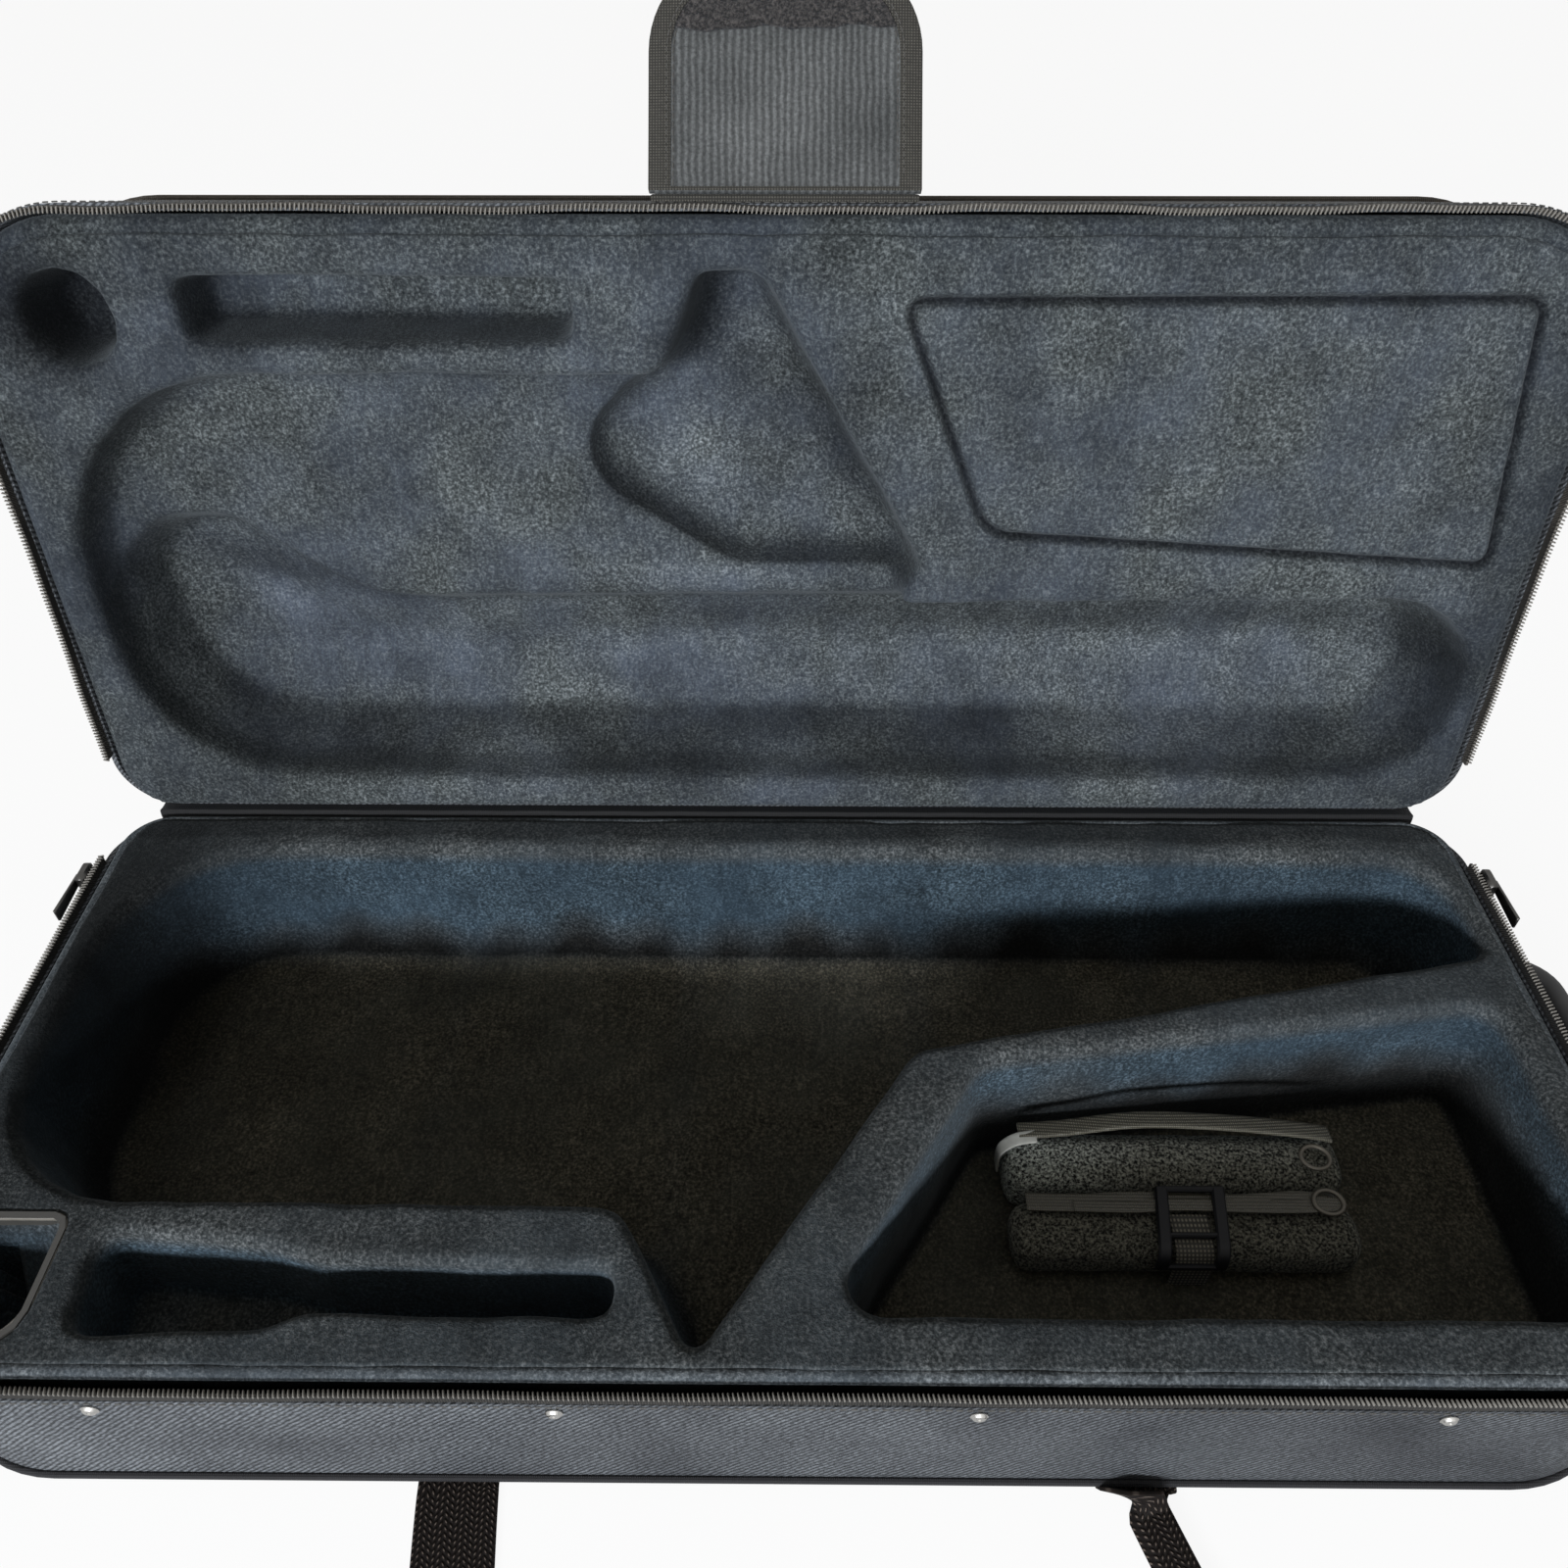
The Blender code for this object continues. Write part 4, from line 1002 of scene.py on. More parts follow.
def makeHinge():
    lean, draft, gap = math.radians(caseSize["lean"]), math.radians(caseSize["draft"]), hinge["gap"]
    away = Vector((0, math.sin(lean), math.cos(lean)))
    out = Vector((0, math.cos(lean), -math.sin(lean)))
    leg = away * math.cos(draft) - out * math.sin(draft)
    legOut = out * math.cos(draft) + away * math.sin(draft)
    origin = Vector(caseSize["hinge"])
    route = [origin + Vector((0, gap, -hinge["low"] + 0.0035 * i)) for i in range(6)]
    route += [origin + Vector((0, gap + 0.0003, -0.0022)), origin + Vector((0, 0.0016, -0.0006))]
    route += [origin + away * 0.0030 + out * gap, origin + away * 0.0060 + out * gap]
    bendStart = origin + away * wallDrop
    route += [bendStart + leg * (0.0032 * i) + legOut * gap for i in range(1, 6)]
    last = len(route) - 1
    bpy.ops.mesh.primitive_grid_add(x_subdivisions=hinge["steps"], y_subdivisions=last, size=1)
    obj = bpy.context.active_object
    for vert in obj.data.vertices:
        row = round((vert.co.y + 0.5) * last)
        x = vert.co.x * 2 * hinge["halfRun"]
        slack = 0.00025 * math.sin(x * 95) * math.sin(math.pi * row / last)
        vert.co = (x, route[row].y + abs(slack), route[row].z)
    faceOutwards(obj)
    modify(obj, "SOLIDIFY", thickness=hinge["thickness"], offset=0)
    modify(obj, "SUBSURF", levels=1, render_levels=1)
    applyAll(obj)
    finishPiece(obj, "hingeBand", hingeCloth, None, "shell_twill", "hinge_cloth", sharp=180)
    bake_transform(obj)


makeHinge()
print("hinge made")

# The accessory cup's rounded lip; rounds: side in x and y, radius
cup = {
    "left": -0.2999,
    "right": -0.2520,
    "front": -0.1174,
    "back": -0.0705,
    "lip": 0.0014,
    "inset": 0.0011,
    "rounds": ((-1, 1, 0.0069), (1, 1, 0.0061), (1, -1, 0.0152), (-1, -1, 0.033)),
    "cornerFrom": 0.019,
}


def makeCupLip():
    midX = (cup["left"] + cup["right"]) / 2
    midY = (cup["front"] + cup["back"]) / 2
    width = cup["right"] - cup["left"] - 2 * cup["inset"]
    depth = cup["back"] - cup["front"] - 2 * cup["inset"]
    obj = addPlane(width, depth, (midX, midY, 0))
    far = cup["cornerFrom"]
    for sideX, sideY, radius in cup["rounds"]:
        roundOff(obj, radius - 0.0012, 10, "VERT",
                 lambda co: (co.x - midX) * sideX > far and (co.y - midY) * sideY > far)
    obj = toCord(obj, cup["lip"])
    shift(obj, 0, 0, caseSize["baseHeight"] - cup["lip"] - 0.0001)
    finishPiece(obj, "cupLip", cupLipPlastic, "base", "cup_plastic", sharp=180)


makeCupLip()
coat(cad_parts["base_accessory_cup"], cupPlastic)

# Rivets: domed heads on thin flanges, with a dimple; profile: share of radius, of rise
rivet = {
    "places": (-0.2243, -0.0731, 0.0649, 0.2167),
    "radius": 0.003,
    "rise": 0.0015,
    "height": 0.066,
    "profile": (
        (1.0, 0.0), (1.0, 0.26), (0.86, 0.34), (0.74, 0.78),
        (0.5, 1.0), (0.24, 0.95), (0.16, 0.66), (0.0, 0.62),
    ),
}


def makeRivet(number, x):
    bpy.ops.mesh.primitive_circle_add(
        vertices=20, radius=rivet["radius"], fill_type="NGON", location=(0, 0, 0)
    )
    obj = bpy.context.active_object
    for (before, low), (share, high) in zip(rivet["profile"], rivet["profile"][1:]):
        choose(obj, "FACE", lambda f: f.normal.z > 0.5 and f.center.xy.length < 0.0002)
        extrude("FACE", (0, 0, (high - low) * rivet["rise"]))
        scale = max(share, 0.05) / max(before, 0.05)
        bpy.ops.transform.resize(value=(scale, scale, 1), center_override=(0, 0, 0))
        objectMode()
    place(obj, rotation(90, "X"))
    shift(obj, x, -halfDepth - 0.0002, rivet["height"])
    faceOutwards(obj)
    name, node = f"rivetHead{number}", f"front_rivet_{number}"
    finishPiece(obj, name, brightNickel, "base", "rivet_metal", node, sharp=50)


for number, x in enumerate(rivet["places"], start=1):
    makeRivet(number, x)
print("cup and rivets made")


def makeRibbon(route, width, thickness, columns=4, shape=None):
    # A flat strap: the route gives the middle line and the side direction of each cross row
    last = len(route) - 1
    bpy.ops.mesh.primitive_grid_add(x_subdivisions=last, y_subdivisions=columns, size=1)
    obj = bpy.context.active_object
    runs = [0.0]
    for (a, _), (b, _) in zip(route, route[1:]):
        runs.append(runs[-1] + (b - a).length)
    strip = obj.data.uv_layers.new(name="strip")
    marks = []
    for vert in obj.data.vertices:
        index = round((vert.co.x + 0.5) * last)
        across = vert.co.y
        middle, side = route[index]
        marks.append((runs[index], across * width))
        if shape:
            vert.co = shape(across * width, middle, side, runs[index])
        else:
            vert.co = middle + side * across * width
    for loop in obj.data.loops:
        strip.data[loop.index].uv = marks[loop.vertex_index]
    modify(obj, "SOLIDIFY", thickness=thickness, offset=0)
    modify(obj, "BEVEL", width=thickness * 0.3, segments=2, limit_method="ANGLE")
    applyAll(obj)
    faceOutwards(obj, merge=False)
    return obj


def smoothRoute(points, samples):
    # Catmull-Rom through the points
    result = []
    last = len(points) - 1
    for i in range(last):
        before, start, end, after = (points[clamp(i + k, 0, last)] for k in (-1, 0, 1, 2))
        for step in range(samples):
            u = step / samples
            slope = end - before
            square = before * 2 - start * 5 + end * 4 - after
            cube = start * 3 - before - end * 3 + after
            result.append((start * 2 + slope * u + square * u**2 + cube * u**3) / 2)
    return result + [points[-1]]


# Carry strap; fold: where the doubled part ends and starts, each with the length of its turn
carry = {
    "width": 0.029,
    "thickness": 0.0015,
    "middle": 0.0012,
    "points": (
        (-0.1155, -0.1262), (-0.1155, -0.1350), (-0.1121, -0.1641), (-0.1058, -0.2091),
        (-0.0851, -0.2674), (-0.0378, -0.2939), (0.0315, -0.2992), (0.0945, -0.2873),
        (0.1418, -0.2489), (0.1544, -0.2065), (0.1386, -0.1641), (0.1285, -0.1350),
        (0.1285, -0.1262),
    ),
    "samples": 9,
    "straightRows": 10,
    "fold": (0.007, 0.010, 0.125, 0.055),
    "foldTurn": 174,
    "foldShift": 0.0072,
    "foldLift": 0.0017,
}


def makeCarryStrap():
    stops = [Vector((x, y, carry["middle"])) for x, y in carry["points"]]
    points = smoothRoute(stops, carry["samples"])
    straight, last = carry["straightRows"], len(points) - 1
    route = []
    for i, point in enumerate(points):
        along = points[min(i + 1, last)] - points[max(i - 1, 0)]
        along.z = 0
        along.normalize()
        if i < straight or i > last - straight:
            along = Vector((0, -1 if i < straight else 1, 0))
        route.append((point, Vector((-along.y, along.x, 0))))
    total = sum((b - a).length for a, b in zip(points, points[1:]))
    near, nearTurn, far, farTurn = carry["fold"]

    def folded(across, middle, side, run):
        # the right arm is doubled over on itself as it leaves the case
        left = total - run
        fold = fade(left, near, nearTurn) * fade(-left, -far, farTurn)
        fold = fold * fold * (3 - 2 * fold)
        turn = math.radians(carry["foldTurn"]) * fold
        reach, lift = across, 0.0
        if across > 0:
            reach = across * math.cos(turn)
            lift = across * math.sin(turn) + carry["foldLift"] * fold
        return middle + side * (reach + carry["foldShift"] * fold) + Vector((0, 0, lift))

    obj = makeRibbon(route, carry["width"], carry["thickness"], 12, folded)
    nodes = ("carry_strap", "carry_strap_root_left", "carry_strap_root_right")
    finishPiece(obj, "carryWebbing", strapCloth, None, "webbing", *nodes, sharp=45)
    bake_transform(obj)


makeCarryStrap()
print("carry strap made")

# End handle and its sewn patches
grip = {
    "spread": 0.124,
    "start": 0.3186,
    "bend": 0.014,
    "radius": 0.0065,
    "stub": 0.0033,
    "height": 0.052,
    "belly": 0.0006,
    "patch": (0.003, 0.034, 0.022),
    "patchOut": 0.3168,
    "stitch": (0.0021, 0.0004, 0.0004),
    "stitchInset": 0.0056,
    "stitchPitch": 0.0032,
}


def makeGrip():
    half, bend, height = grip["spread"] / 2, grip["bend"], grip["height"]
    bendX = grip["start"] + grip["stub"]
    arm = [Vector((grip["start"], half, height))]
    for i in range(9):
        angle = math.radians(90 * i / 8)
        y = half - bend + bend * math.cos(angle)
        arm.append(Vector((bendX + bend * math.sin(angle), y, height)))
    route = list(arm)
    for i in range(1, 12):
        x = arm[-1].x + grip["belly"] * math.sin(math.pi * i / 12)
        route.append(Vector((x, half - bend - (2 * half - 2 * bend) * i / 12, height)))
    route += [Vector((p.x, -p.y, p.z)) for p in arm[::-1]]
    curve = bpy.data.curves.new("gripRoute", "CURVE")
    curve.dimensions = "3D"
    spline = curve.splines.new("POLY")
    spline.points.add(len(route) - 1)
    for target, point in zip(spline.points, route):
        target.co = (*point, 1)
        end = min(abs(point.y - half), abs(point.y + half)) / 0.03
        target.radius = 0.86 + 0.14 * min(1.0, end)
    curve.bevel_depth = grip["radius"]
    curve.bevel_resolution = 5
    curve.use_fill_caps = True
    obj = bpy.data.objects.new("gripMoulding", curve)
    bpy.context.scene.collection.objects.link(obj)
    pick(obj)
    bpy.ops.object.convert(target="MESH")
    obj = bpy.context.active_object
    name, node = "gripMoulding", "end_handle_grip"
    finishPiece(obj, name, gripRubber, "base", "grip_rubber", node, sharp=60)


def makeGripPatch(label, side):
    thick, long, wide = grip["patch"]
    y = side * grip["spread"] / 2
    patch = smallBlock(grip["patch"], 0.28)
    shift(patch, grip["patchOut"], y, grip["height"])
    choose(patch, "FACE", lambda face: face.normal.x > 0.9)
    bpy.ops.mesh.inset(thickness=0.003, depth=-0.0004)
    objectMode()
    name, node = "gripPatch" + label, "end_handle_patch_" + label.lower()
    finishPiece(patch, name, patchCloth, "base", "webbing", node, sharp=40)
    path = addPlane(long - grip["stitchInset"], wide - grip["stitchInset"])
    dropFaces(path)
    row = repeatAlong(smallBlock(grip["stitch"]), path, grip["stitchPitch"])
    place(row, rotation(90, "Z") @ rotation(90, "X"))
    shift(row, grip["patchOut"] + thick / 2, y, grip["height"])
    finishPiece(row, "patchStitches" + label, stitchThread, "base", "webbing")


makeGrip()
for label, side in (("Rear", 1), ("Front", -1)):
    makeGripPatch(label, side)
print("end handle made")

# Zip sliders and pulls
slider = {
    "x": 0.3183,
    "y": 0.0945,
    "z": 0.07325,
    "size": (0.005, 0.011, 0.0095),
    "pullX": 0.3219,
    "pull": (0.0014, 0.024, 0.0066),
    "pullEye": 0.0007,
}


def makeSlider(label, side):
    length, y, z = slider["size"][1], slider["y"], slider["z"]
    body = smallBlock(slider["size"], 0.26)
    # waisted sides, as a cast slider has
    for vert in body.data.vertices:
        waist = 1 - 0.16 * math.cos(vert.co.y / length * math.pi * 1.6)
        vert.co.z *= max(waist, 0.8) if abs(vert.co.z) > 0.002 else 1
    choose(body, "FACE", lambda face: face.normal.x * side > 0.9)
    bpy.ops.mesh.inset(thickness=0.0012, depth=0.0)
    extrude("FACE", (side * -0.0005, 0, 0))
    objectMode()
    shift(body, side * slider["x"], y, z)
    lower = label.lower()
    name, node = "zipSlider" + label, "zip_slider_" + lower
    finishPiece(body, name, nickelPlate, lower + "_slider", "zip_metal", node, sharp=40)
    pull = smallBlock(slider["pull"])
    long = slider["pull"][1]
    shift(pull, 0, -long / 2 + slider["pullEye"], 0)
    for vert in pull.data.vertices:
        vert.co.z *= 0.62 + 0.38 * min(1.0, -vert.co.y / long * 1.6)
    choose(pull, "FACE", lambda face: abs(face.normal.x) > 0.9)
    bpy.ops.mesh.inset(thickness=0.0013, depth=-0.0003)
    objectMode()
    shift(pull, side * slider["pullX"], y, z)
    name, node = "zipPull" + label, "zip_pull_" + lower
    finishPiece(pull, name, nickelPlate, lower + "_pull", "zip_metal", node, sharp=40)


for label, side in (("Left", -1), ("Right", 1)):
    makeSlider(label, side)
print("sliders made")

# Fold-over flap; stitch rows: inset, lift off the cloth
flap = {
    "pivot": (0, 0.17765, 0.34289),
    "droop": 35.0,
    "width": 0.096,
    "length": 0.085,
    "tip": 0.036,
    "thickness": 0.002,
    "binding": 0.0075,
    "hookStart": 0.057,
    "gridStep": 0.008,
    "hookStep": 0.005,
    "crown": 0.0012,
    "curl": 0.0010,
    "stitch": (0.0019, 0.00045, 0.0005),
    "stitchPitch": 0.0029,
    "stitchRows": {"Outer": (-0.0014, 0.0010), "Inner": (0.0008, 0.0002)},
}
flapFrame = Matrix.Translation(flap["pivot"]) @ rotation(-caseSize["lean"] - flap["droop"], "X")


def flapOutline(inset, low, high, rootInset):
    # A tongue with its root on the fold line, lying along -Y
    length = flap["length"]
    spot = (0, -(length - inset + rootInset) / 2, low)
    obj = addPlane(flap["width"] - 2 * inset, length - inset - rootInset, spot)
    roundOff(obj, flap["tip"] - inset, 14, "VERT", lambda co: co.y < -length / 2)
    choose(obj)
    extrude("FACE", (0, 0, high - low))
    objectMode()
    faceOutwards(obj)
    return obj


def gridded(obj, step):
    # cuts across and along, so that the tongue can be crowned
    half, length = flap["width"] / 2, flap["length"]
    for normal, low, high in (((1, 0, 0), -half, half), ((0, 1, 0), -length, 0)):
        spot = low + step
        while spot < high - 0.0005:
            cutAcross(obj, [spot * part for part in normal], normal)
            spot += step


def softEdges(obj, width):
    modify(obj, "BEVEL", width=width, segments=2, limit_method="ANGLE")
    applyAll(obj)


def hang(obj, name, cloth, slot, *nodes, merge=True, sharp=40):
    # Crowned and curled, then swung to where the flap hangs
    for vert in obj.data.vertices:
        x, y = vert.co.x / (flap["width"] / 2), -vert.co.y / flap["length"]
        rise = flap["crown"] * (1 - x * x) * math.sin(math.pi * min(1.0, y * 1.1))
        vert.co.z -= rise + flap["curl"] * y * y
    if merge:
        faceOutwards(obj)
    place(obj, flapFrame)
    finishPiece(obj, name, cloth, "flap", slot, *nodes, sharp=sharp)


def makeFlap():
    half, binding, hookStart = flap["thickness"] / 2, flap["binding"], flap["hookStart"]
    panel = flapOutline(0.0, -half, half, 0.0)
    gridded(panel, flap["gridStep"])
    softEdges(panel, 0.0005)
    hang(panel, "flapPanel", flapCloth, "ribbed_cloth", "flap_panel", merge=False)

    # binding: the tongue's border as a rounded tape round its edge
    border = flapOutline(-0.0004, -half - 0.0008, half + 0.0008, 0.0004)
    gridded(border, flap["gridStep"])
    inner = flapOutline(binding, -0.02, 0.02, 0.0015)
    modify(border, "BOOLEAN", operation="DIFFERENCE", object=inner, solver="EXACT")
    applyAll(border)
    bpy.data.objects.remove(inner, do_unlink=True)
    softEdges(border, 0.0007)
    hang(border, "flapBinding", bindingCloth, "binding", "flap_binding")

    # hook patch with an uneven cut edge on the seam side
    hook = flapOutline(binding + 0.0004, -half - 0.0011, -half - 0.0001, 0.0)
    slant = (0.018, 1, 0)
    cutAcross(hook, (0, -hookStart, 0), slant, clear_outer=True, use_fill=True)
    gridded(hook, flap["hookStep"])
    for vert in hook.data.vertices:
        x, y, z = vert.co
        if y > -hookStart - 0.0025:
            vert.co.y += 0.0006 * math.sin(x * 190) + 0.0005 * math.sin(x * 410 + 1)
    hang(hook, "flapHookPatch", hookPile, "hook_pile", "flap_hook_patch")

    # stitch rows on and inside the binding, open at the root
    for label, (inset, lift) in flap["stitchRows"].items():
        path = flapOutline(binding + inset, 0, 0.001, 0.003)
        dropFaces(path)
        erase(path, "VERT", lambda co: co.z > 0.0005)
        verts = path.data.vertices
        erase(path, "EDGE", lambda edge: all(verts[i].co.y > -0.0035 for i in edge.vertices))
        row = repeatAlong(smallBlock(flap["stitch"]), path, flap["stitchPitch"])
        shift(row, 0, 0, -half - lift)
        hang(row, "flapStitches" + label, stitchThread, "binding", merge=False, sharp=None)


makeFlap()
coat(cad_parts["flap_seam_strip"], bindingCloth)
print("flap made")

# Folded neck strap; pads: depth, height; band points: off the pad's left end, its line and its top
bundle = {
    "left": 0.08694,
    "rear": -0.01139,
    "floor": 0.0183,
    "length": 0.139,
    "rearPad": (0.028, 0.027),
    "frontPad": (0.027, 0.023),
    "padGap": 0.0003,
    "voxel": 0.0038,
    "pressure": 3.0,
    "swellFrames": 18,
    "cap": 0.004,
    "padRoom": (0.004, 0.003, 0.003),
    "padRounding": 0.007,
    "padRise": 0.0006,
    "seamHeight": 0.12,
    "seamHalfWidth": 0.0022,
    "seamSide": 0.36,
    "seamPinch": 0.965,
    "dentSize": 0.016,
    "dentDepth": 0.0012,
    "bandGap": 0.0014,
    "upper": (
        (0.008, 0, 0), (0.026, 0.0004, 0.0018), (0.056, 0.0016, 0.0062),
        (0.092, 0.0012, 0.0050), (0.124, 0, 0.0014), (0.133, -0.001, 0),
    ),
    "lower": (
        (0.008, 0, 0), (0.030, -0.0006, 0.0003), (0.05, 0.0003, 0.0005),
        (0.09, -0.0004, 0.0003), (0.112, 0.0008, 0.0008), (0.131, 0, 0),
    ),
    "second": (
        (0.026, -0.0022, 0.0012), (0.048, -0.0028, 0.0015), (0.068, -0.0019, 0.0017),
        (0.108, -0.0026, 0.0015), (0.130, -0.0014, 0.0020), (0.103, -0.0018, 0.0013),
    ),
    "turned": (
        (0.0150, 0, 0.0010), (0.0070, -0.001, 0.0004), (0.0012, -0.003, -0.0026),
        (-0.0002, -0.004, -0.0075), (-0.0002, -0.005, -0.0130),
    ),
    "glideRail": (0.0050, 0.0340, 0.0024),
    "glideBars": ((0.0158, 0.0024, 0), (-0.0030, 0.0020, -0.0002), (-0.0158, 0.0024, 0)),
    "glideBend": (-0.0060, 0.0065),
    "rings": {"Rear": (0.21124, -0.0278, 0.0467), "Front": (0.21124, -0.0461, 0.0452)},
}
rearDepth, rearHeight = bundle["rearPad"]
frontDepth, frontHeight = bundle["frontPad"]
frontRear = bundle["rear"] - rearDepth - bundle["padGap"]
bundleMiddle = bundle["left"] + bundle["length"] / 2


def makePad(name, node, depth, height, rearY):
    # Cushion: a rounded box, swelled by cloth pressure, then given a seam line
    length = bundle["length"]
    sizes = (length, depth, height)
    obj = addBlock([size - room for size, room in zip(sizes, bundle["padRoom"])])
    roundOff(obj, bundle["padRounding"], 4)
    obj.data.remesh_voxel_size = bundle["voxel"]
    pick(obj)
    bpy.ops.object.voxel_remesh()
    start = [v.co.copy() for v in obj.data.vertices]
    settings = modify(obj, "CLOTH").settings
    settings.quality = 5
    settings.mass = 0.2
    settings.use_pressure = True
    settings.uniform_pressure_force = bundle["pressure"]
    settings.effector_weights.gravity = 0
    for step in range(bundle["swellFrames"]):
        bpy.context.scene.frame_set(step + 1)
    applyAll(obj)
    bpy.context.scene.frame_set(1)
    for vert, before in zip(obj.data.vertices, start):
        move = vert.co - before
        if move.length > bundle["cap"]:
            vert.co = before + move.normalized() * bundle["cap"]
        # it lies flat where it rests, and stays in its own space
        x, y, z = vert.co
        x, y = clamp(x, -length / 2, length / 2), clamp(y, -depth / 2, depth / 2)
        vert.co = (x, y, clamp(z, -height / 2, height / 2 + bundle["padRise"]))
    # piped seam groove round the long sides
    for vert in obj.data.vertices:
        off = abs(vert.co.z - height * bundle["seamHeight"])
        if off < bundle["seamHalfWidth"] and abs(vert.co.y) > depth * bundle["seamSide"]:
            vert.co.y *= bundle["seamPinch"]
    modify(obj, "SUBSURF", levels=1, render_levels=1)
    dent = bpy.data.textures.new(name + "Dents", "CLOUDS")
    dent.noise_scale = bundle["dentSize"]
    sag = modify(obj, "DISPLACE", texture=dent, texture_coords="LOCAL")
    sag.strength = bundle["dentDepth"]
    sag.mid_level = 0.62
    applyAll(obj)
    shift(obj, bundleMiddle, rearY - depth / 2, bundle["floor"] + height / 2)
    finishPiece(obj, name, padCloth, "strap_bundle", "pad_cloth", node, sharp=180)


makePad("rearPadCushion", "strap_pad_rear", rearDepth, rearHeight, bundle["rear"])
makePad("frontPadCushion", "strap_pad_front", frontDepth, frontHeight, frontRear)
print("pads made")


def makeBand(name, points, lineY, top, width, thickness, cloth, *nodes, samples=6, tilt=0.0):
    stops = [Vector((bundle["left"] + x, lineY + y, top + z)) for x, y, z in points]
    side = Vector((0, 1, tilt)).normalized()
    band = makeRibbon([(spot, side) for spot in smoothRoute(stops, samples)], width, thickness)
    finishPiece(band, name, cloth, "strap_bundle", "strap_band", *nodes, sharp=45)


def makeKeeper(frontTop):
    # Webbing over the front of the pad: y and z of its middle line
    front = frontRear - frontDepth
    line = (
        (frontRear - 0.0107, frontTop - 0.0002), (frontRear - 0.018, frontTop),
        (front + 0.0025, frontTop - 0.0006), (front - 0.0006, frontTop - 0.004),
        (front - 0.0012, frontTop - 0.011), (front - 0.0012, bundle["floor"] + 0.004),
    )
    spots = smoothRoute([Vector((bundleMiddle, y, z)) for y, z in line], 5)
    keeper = makeRibbon([(spot, Vector((1, 0, 0))) for spot in spots], 0.0148, 0.0013, 6)
    name, node = "keeperWebbing", "strap_keeper"
    finishPiece(keeper, name, keeperCloth, "strap_bundle", "webbing", node, sharp=45)


def makeGlide(frontTop):
    # Two rails and three bars, one moulding, bent over the pad's front
    bars = []
    for side in (-1, 1):
        rail = smallBlock(bundle["glideRail"])
        shift(rail, side * 0.0110, 0, 0)
        bars.append(rail)
    for y, width, z in bundle["glideBars"]:
        bar = smallBlock((0.0240, width, 0.0020))
        shift(bar, 0, y, z)
        bars.append(bar)
    glide = bars[0]
    for other in bars[1:]:
        modify(glide, "BOOLEAN", operation="UNION", object=other, solver="EXACT")
    applyAll(glide)
    for other in bars[1:]:
        bpy.data.objects.remove(other, do_unlink=True)
    start, radius = bundle["glideBend"]
    for cut in range(10):
        cutAcross(glide, (0, start - 0.0012 * cut, 0), (0, 1, 0))
    for vert in glide.data.vertices:
        x, y, z = vert.co
        x += 0.14 * y
        if y < start:
            turn = min((start - y) / radius, math.pi / 2)
            rest = (start - y) - turn * radius
            drop = (radius + z) * math.cos(turn) - radius - rest
            y, z = start - (radius + z) * math.sin(turn), drop
        vert.co = (x, y, z)
    shift(glide, bundleMiddle, frontRear - 0.0172, frontTop + 0.0026)
    faceOutwards(glide)
    name, node = "glideBuckle", "strap_tri_glide"
    finishPiece(glide, name, strapPlastic, "strap_bundle", "strap_plastic", node, sharp=40)


def makeRing(label, x, y, z):
    bpy.ops.mesh.primitive_torus_add(
        major_radius=0.005, minor_radius=0.0009, major_segments=36, minor_segments=10,
        location=(x, y, z),
    )
    ring = bpy.context.active_object
    settle(ring)
    # a split ring: pressed slightly oval
    for vert in ring.data.vertices:
        vert.co.x = x + (vert.co.x - x) * 1.12
    name, node = "strapRing" + label, "strap_ring_" + label.lower()
    finishPiece(ring, name, ringNickel, "strap_bundle", "zip_metal", node, sharp=180)


rearTop, frontTop = (
    bundle["floor"] + height + bundle["bandGap"] for height in (rearHeight, frontHeight)
)
rearLine, frontLine, endLine = bundle["rear"] - 0.0055, frontRear - 0.0056, bundle["rear"] - 0.0085
makeBand("upperStrapBand", bundle["upper"], rearLine, rearTop, 0.0076, 0.0016, bandCloth,
         "strap_webbing_rear", tilt=-0.14)
makeBand("lowerStrapBand", bundle["lower"], frontLine, frontTop, 0.0076, 0.0011, bandCloth,
         "strap_webbing_front")
makeBand("secondBandLayer", bundle["second"], frontLine, frontTop, 0.0050, 0.0010, bandCloth)
# the band's end turns down over the rear pad's left end
makeBand("turnedBandEnd", bundle["turned"], endLine, rearTop, 0.0056, 0.0010, curlCloth, samples=5)
makeKeeper(frontTop)
makeGlide(frontTop)
for label, spot in bundle["rings"].items():
    makeRing(label, *spot)
print("bundle made")

# Camera, lamps, world and floor
view = {"place": (0.0033, -0.2853, 0.4892), "turn": (46.88, 0.07, 0.43), "lens": 28.35}
studio = {
    "key": ((-0.60, -2.53, 0.98), (0.0, 0.05, 0.12), (1.6, 0.26), 104, (0.93, 0.955, 1.0)),
    "fill": ((0, -0.3, 2.4), (0, 0, 0), (2.0, 2.0), 3, (1.0, 0.97, 0.92)),
    "ambient": 0.15,
    "floorSize": 12,
    "floorGlow": 0.92,
}
camera = bpy.data.objects.new("photoCamera", bpy.data.cameras.new("photoCamera"))
camera.data.lens = view["lens"]
camera.data.sensor_width = 36
camera.data.clip_start = 0.01
camera.location = view["place"]
camera.rotation_euler = [math.radians(a) for a in view["turn"]]
bpy.context.scene.collection.objects.link(camera)
bpy.context.scene.camera = camera


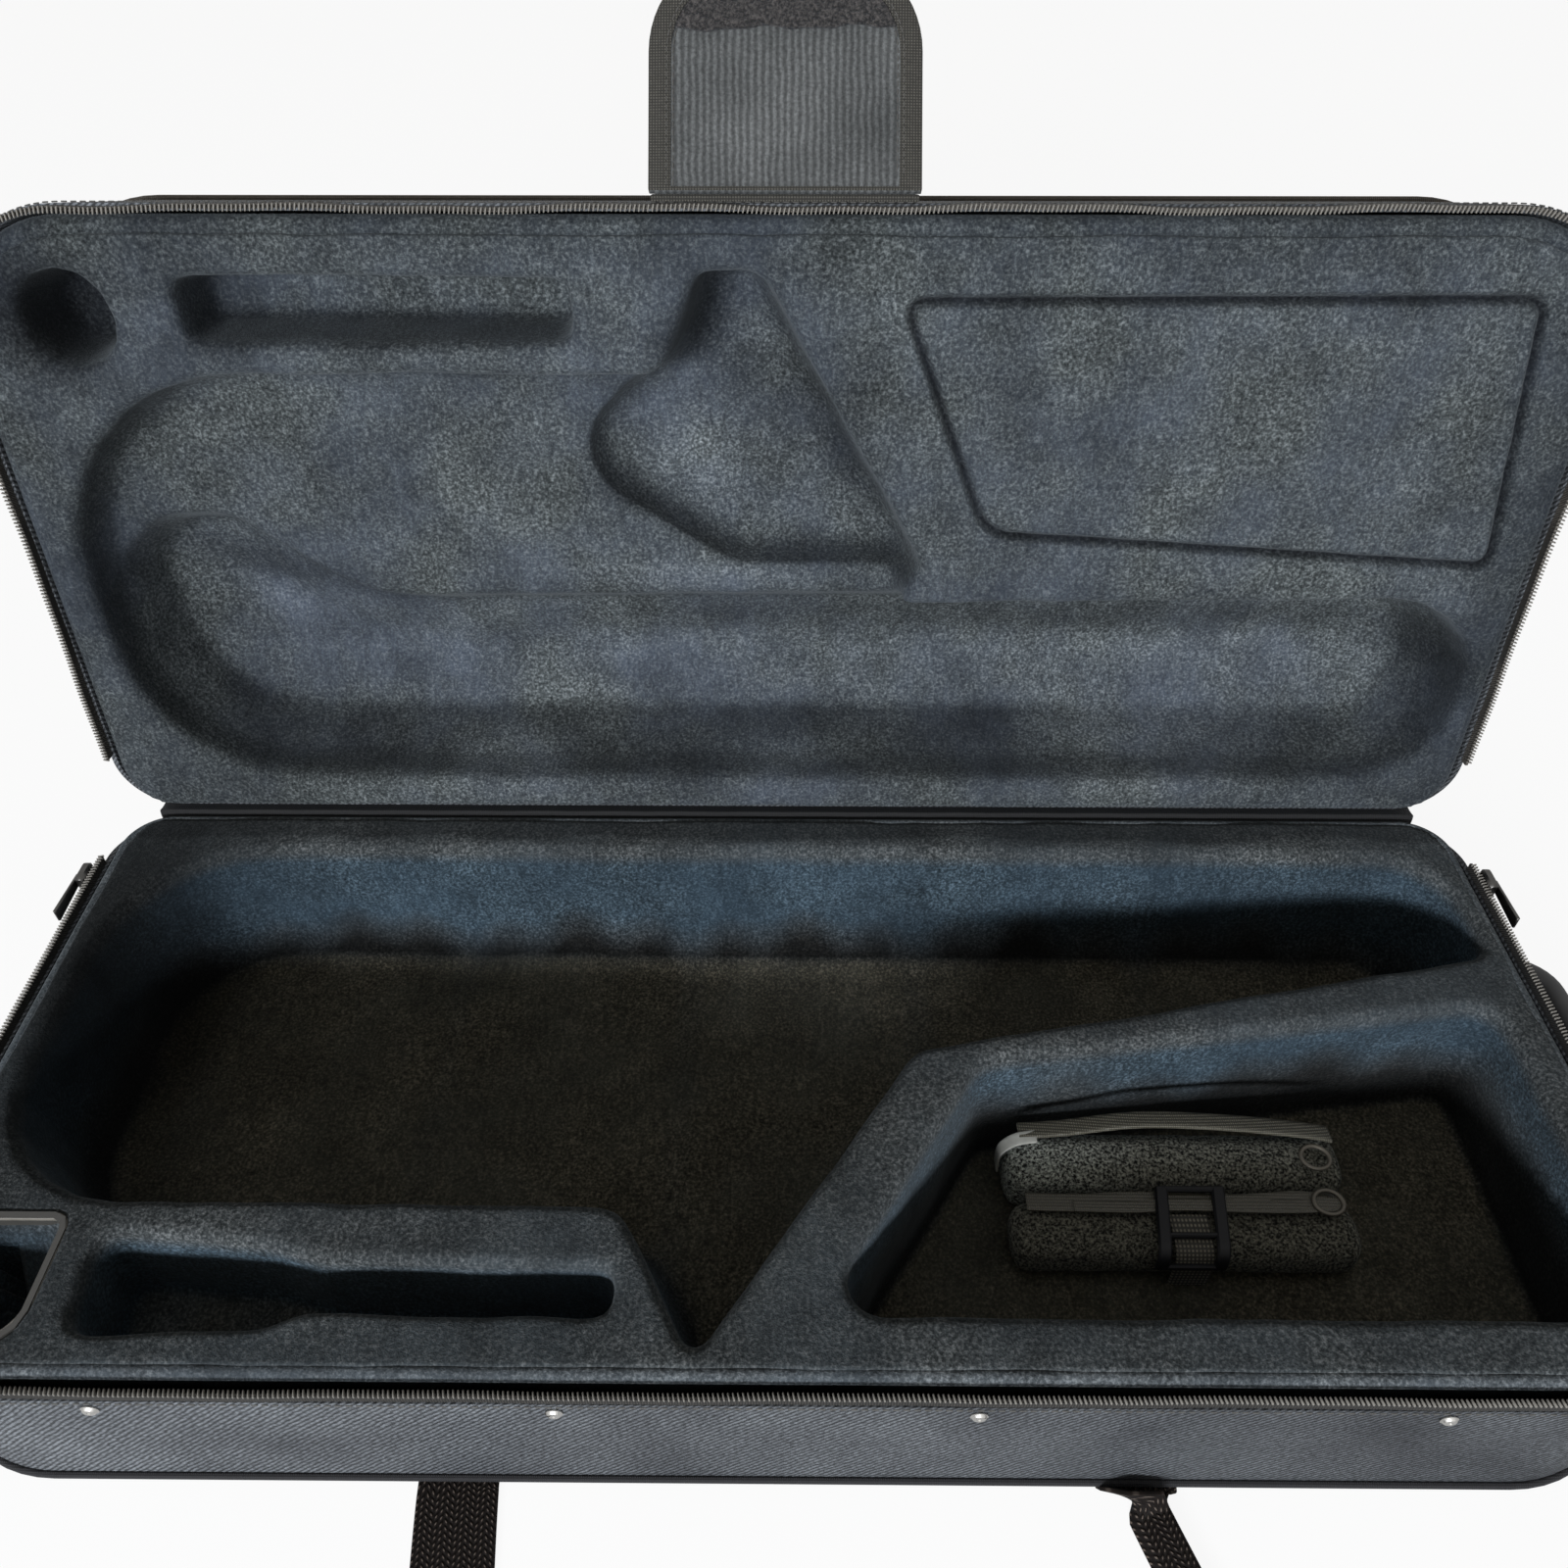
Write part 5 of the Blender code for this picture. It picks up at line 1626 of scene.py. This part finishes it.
def addLamp(name, spot, aim, size, power, color):
    lamp = bpy.data.lights.new(name, "AREA")
    lamp.shape = "RECTANGLE"
    lamp.size, lamp.size_y = size
    lamp.energy = power
    lamp.color = color
    obj = bpy.data.objects.new(name, lamp)
    obj.location = spot
    obj.rotation_euler = (Vector(aim) - Vector(spot)).to_track_quat("-Z", "Y").to_euler()
    bpy.context.scene.collection.objects.link(obj)


addLamp("lowSoftWindow", *studio["key"])
addLamp("overheadFill", *studio["fill"])

# White to the camera, to mirrors and through glass, a weak warm light otherwise
world = bpy.data.worlds.new("paleStudio")
bpy.context.scene.world = world
world.use_nodes = True
world.node_tree.nodes.clear()
white = (1, 1, 1, 1)
seen = addNode(world, "Background", {"Color": white, "Strength": 1.0})
ambient = {"Color": "#f3ece0", "Strength": studio["ambient"]}
lighting = addNode(world, "Background", ambient)
rays = addNode(world, "LightPath").outputs
straight = maths(world, "MAXIMUM", rays["Is Camera Ray"], rays["Is Glossy Ray"])
straight = maths(world, "MAXIMUM", straight, rays["Is Transmission Ray"])
either = addNode(world, "MixShader", {0: straight, 1: lighting.outputs[0], 2: seen.outputs[0]})
addNode(world, "OutputWorld", {"Surface": either.outputs[0]})

bpy.ops.mesh.primitive_plane_add(size=studio["floorSize"], location=(0, 0, 0))
floor = bpy.context.active_object
floor.name = "paleFloor"
paper = bpy.data.materials.new("palePaperFloor")
paper.use_nodes = True
shader = paper.node_tree.nodes["Principled BSDF"]
shader.inputs["Base Color"].default_value = tint("#f2f2f2")
shader.inputs["Roughness"].default_value = 0.9
glow = addNode(paper, "Emission", {"Color": white, "Strength": 1.0})
cameraRay = addNode(paper, "LightPath").outputs["Is Camera Ray"]
share = maths(paper, "MULTIPLY", cameraRay, studio["floorGlow"])
mixed = addNode(paper, "MixShader", {0: share, 1: shader.outputs[0], 2: glow.outputs[0]})
ending = paper.node_tree.nodes["Material Output"]
paper.node_tree.links.new(mixed.outputs[0], ending.inputs["Surface"])
floor.data.materials.append(paper)

bpy.context.scene.view_settings.view_transform = "Standard"
print("scene ready")
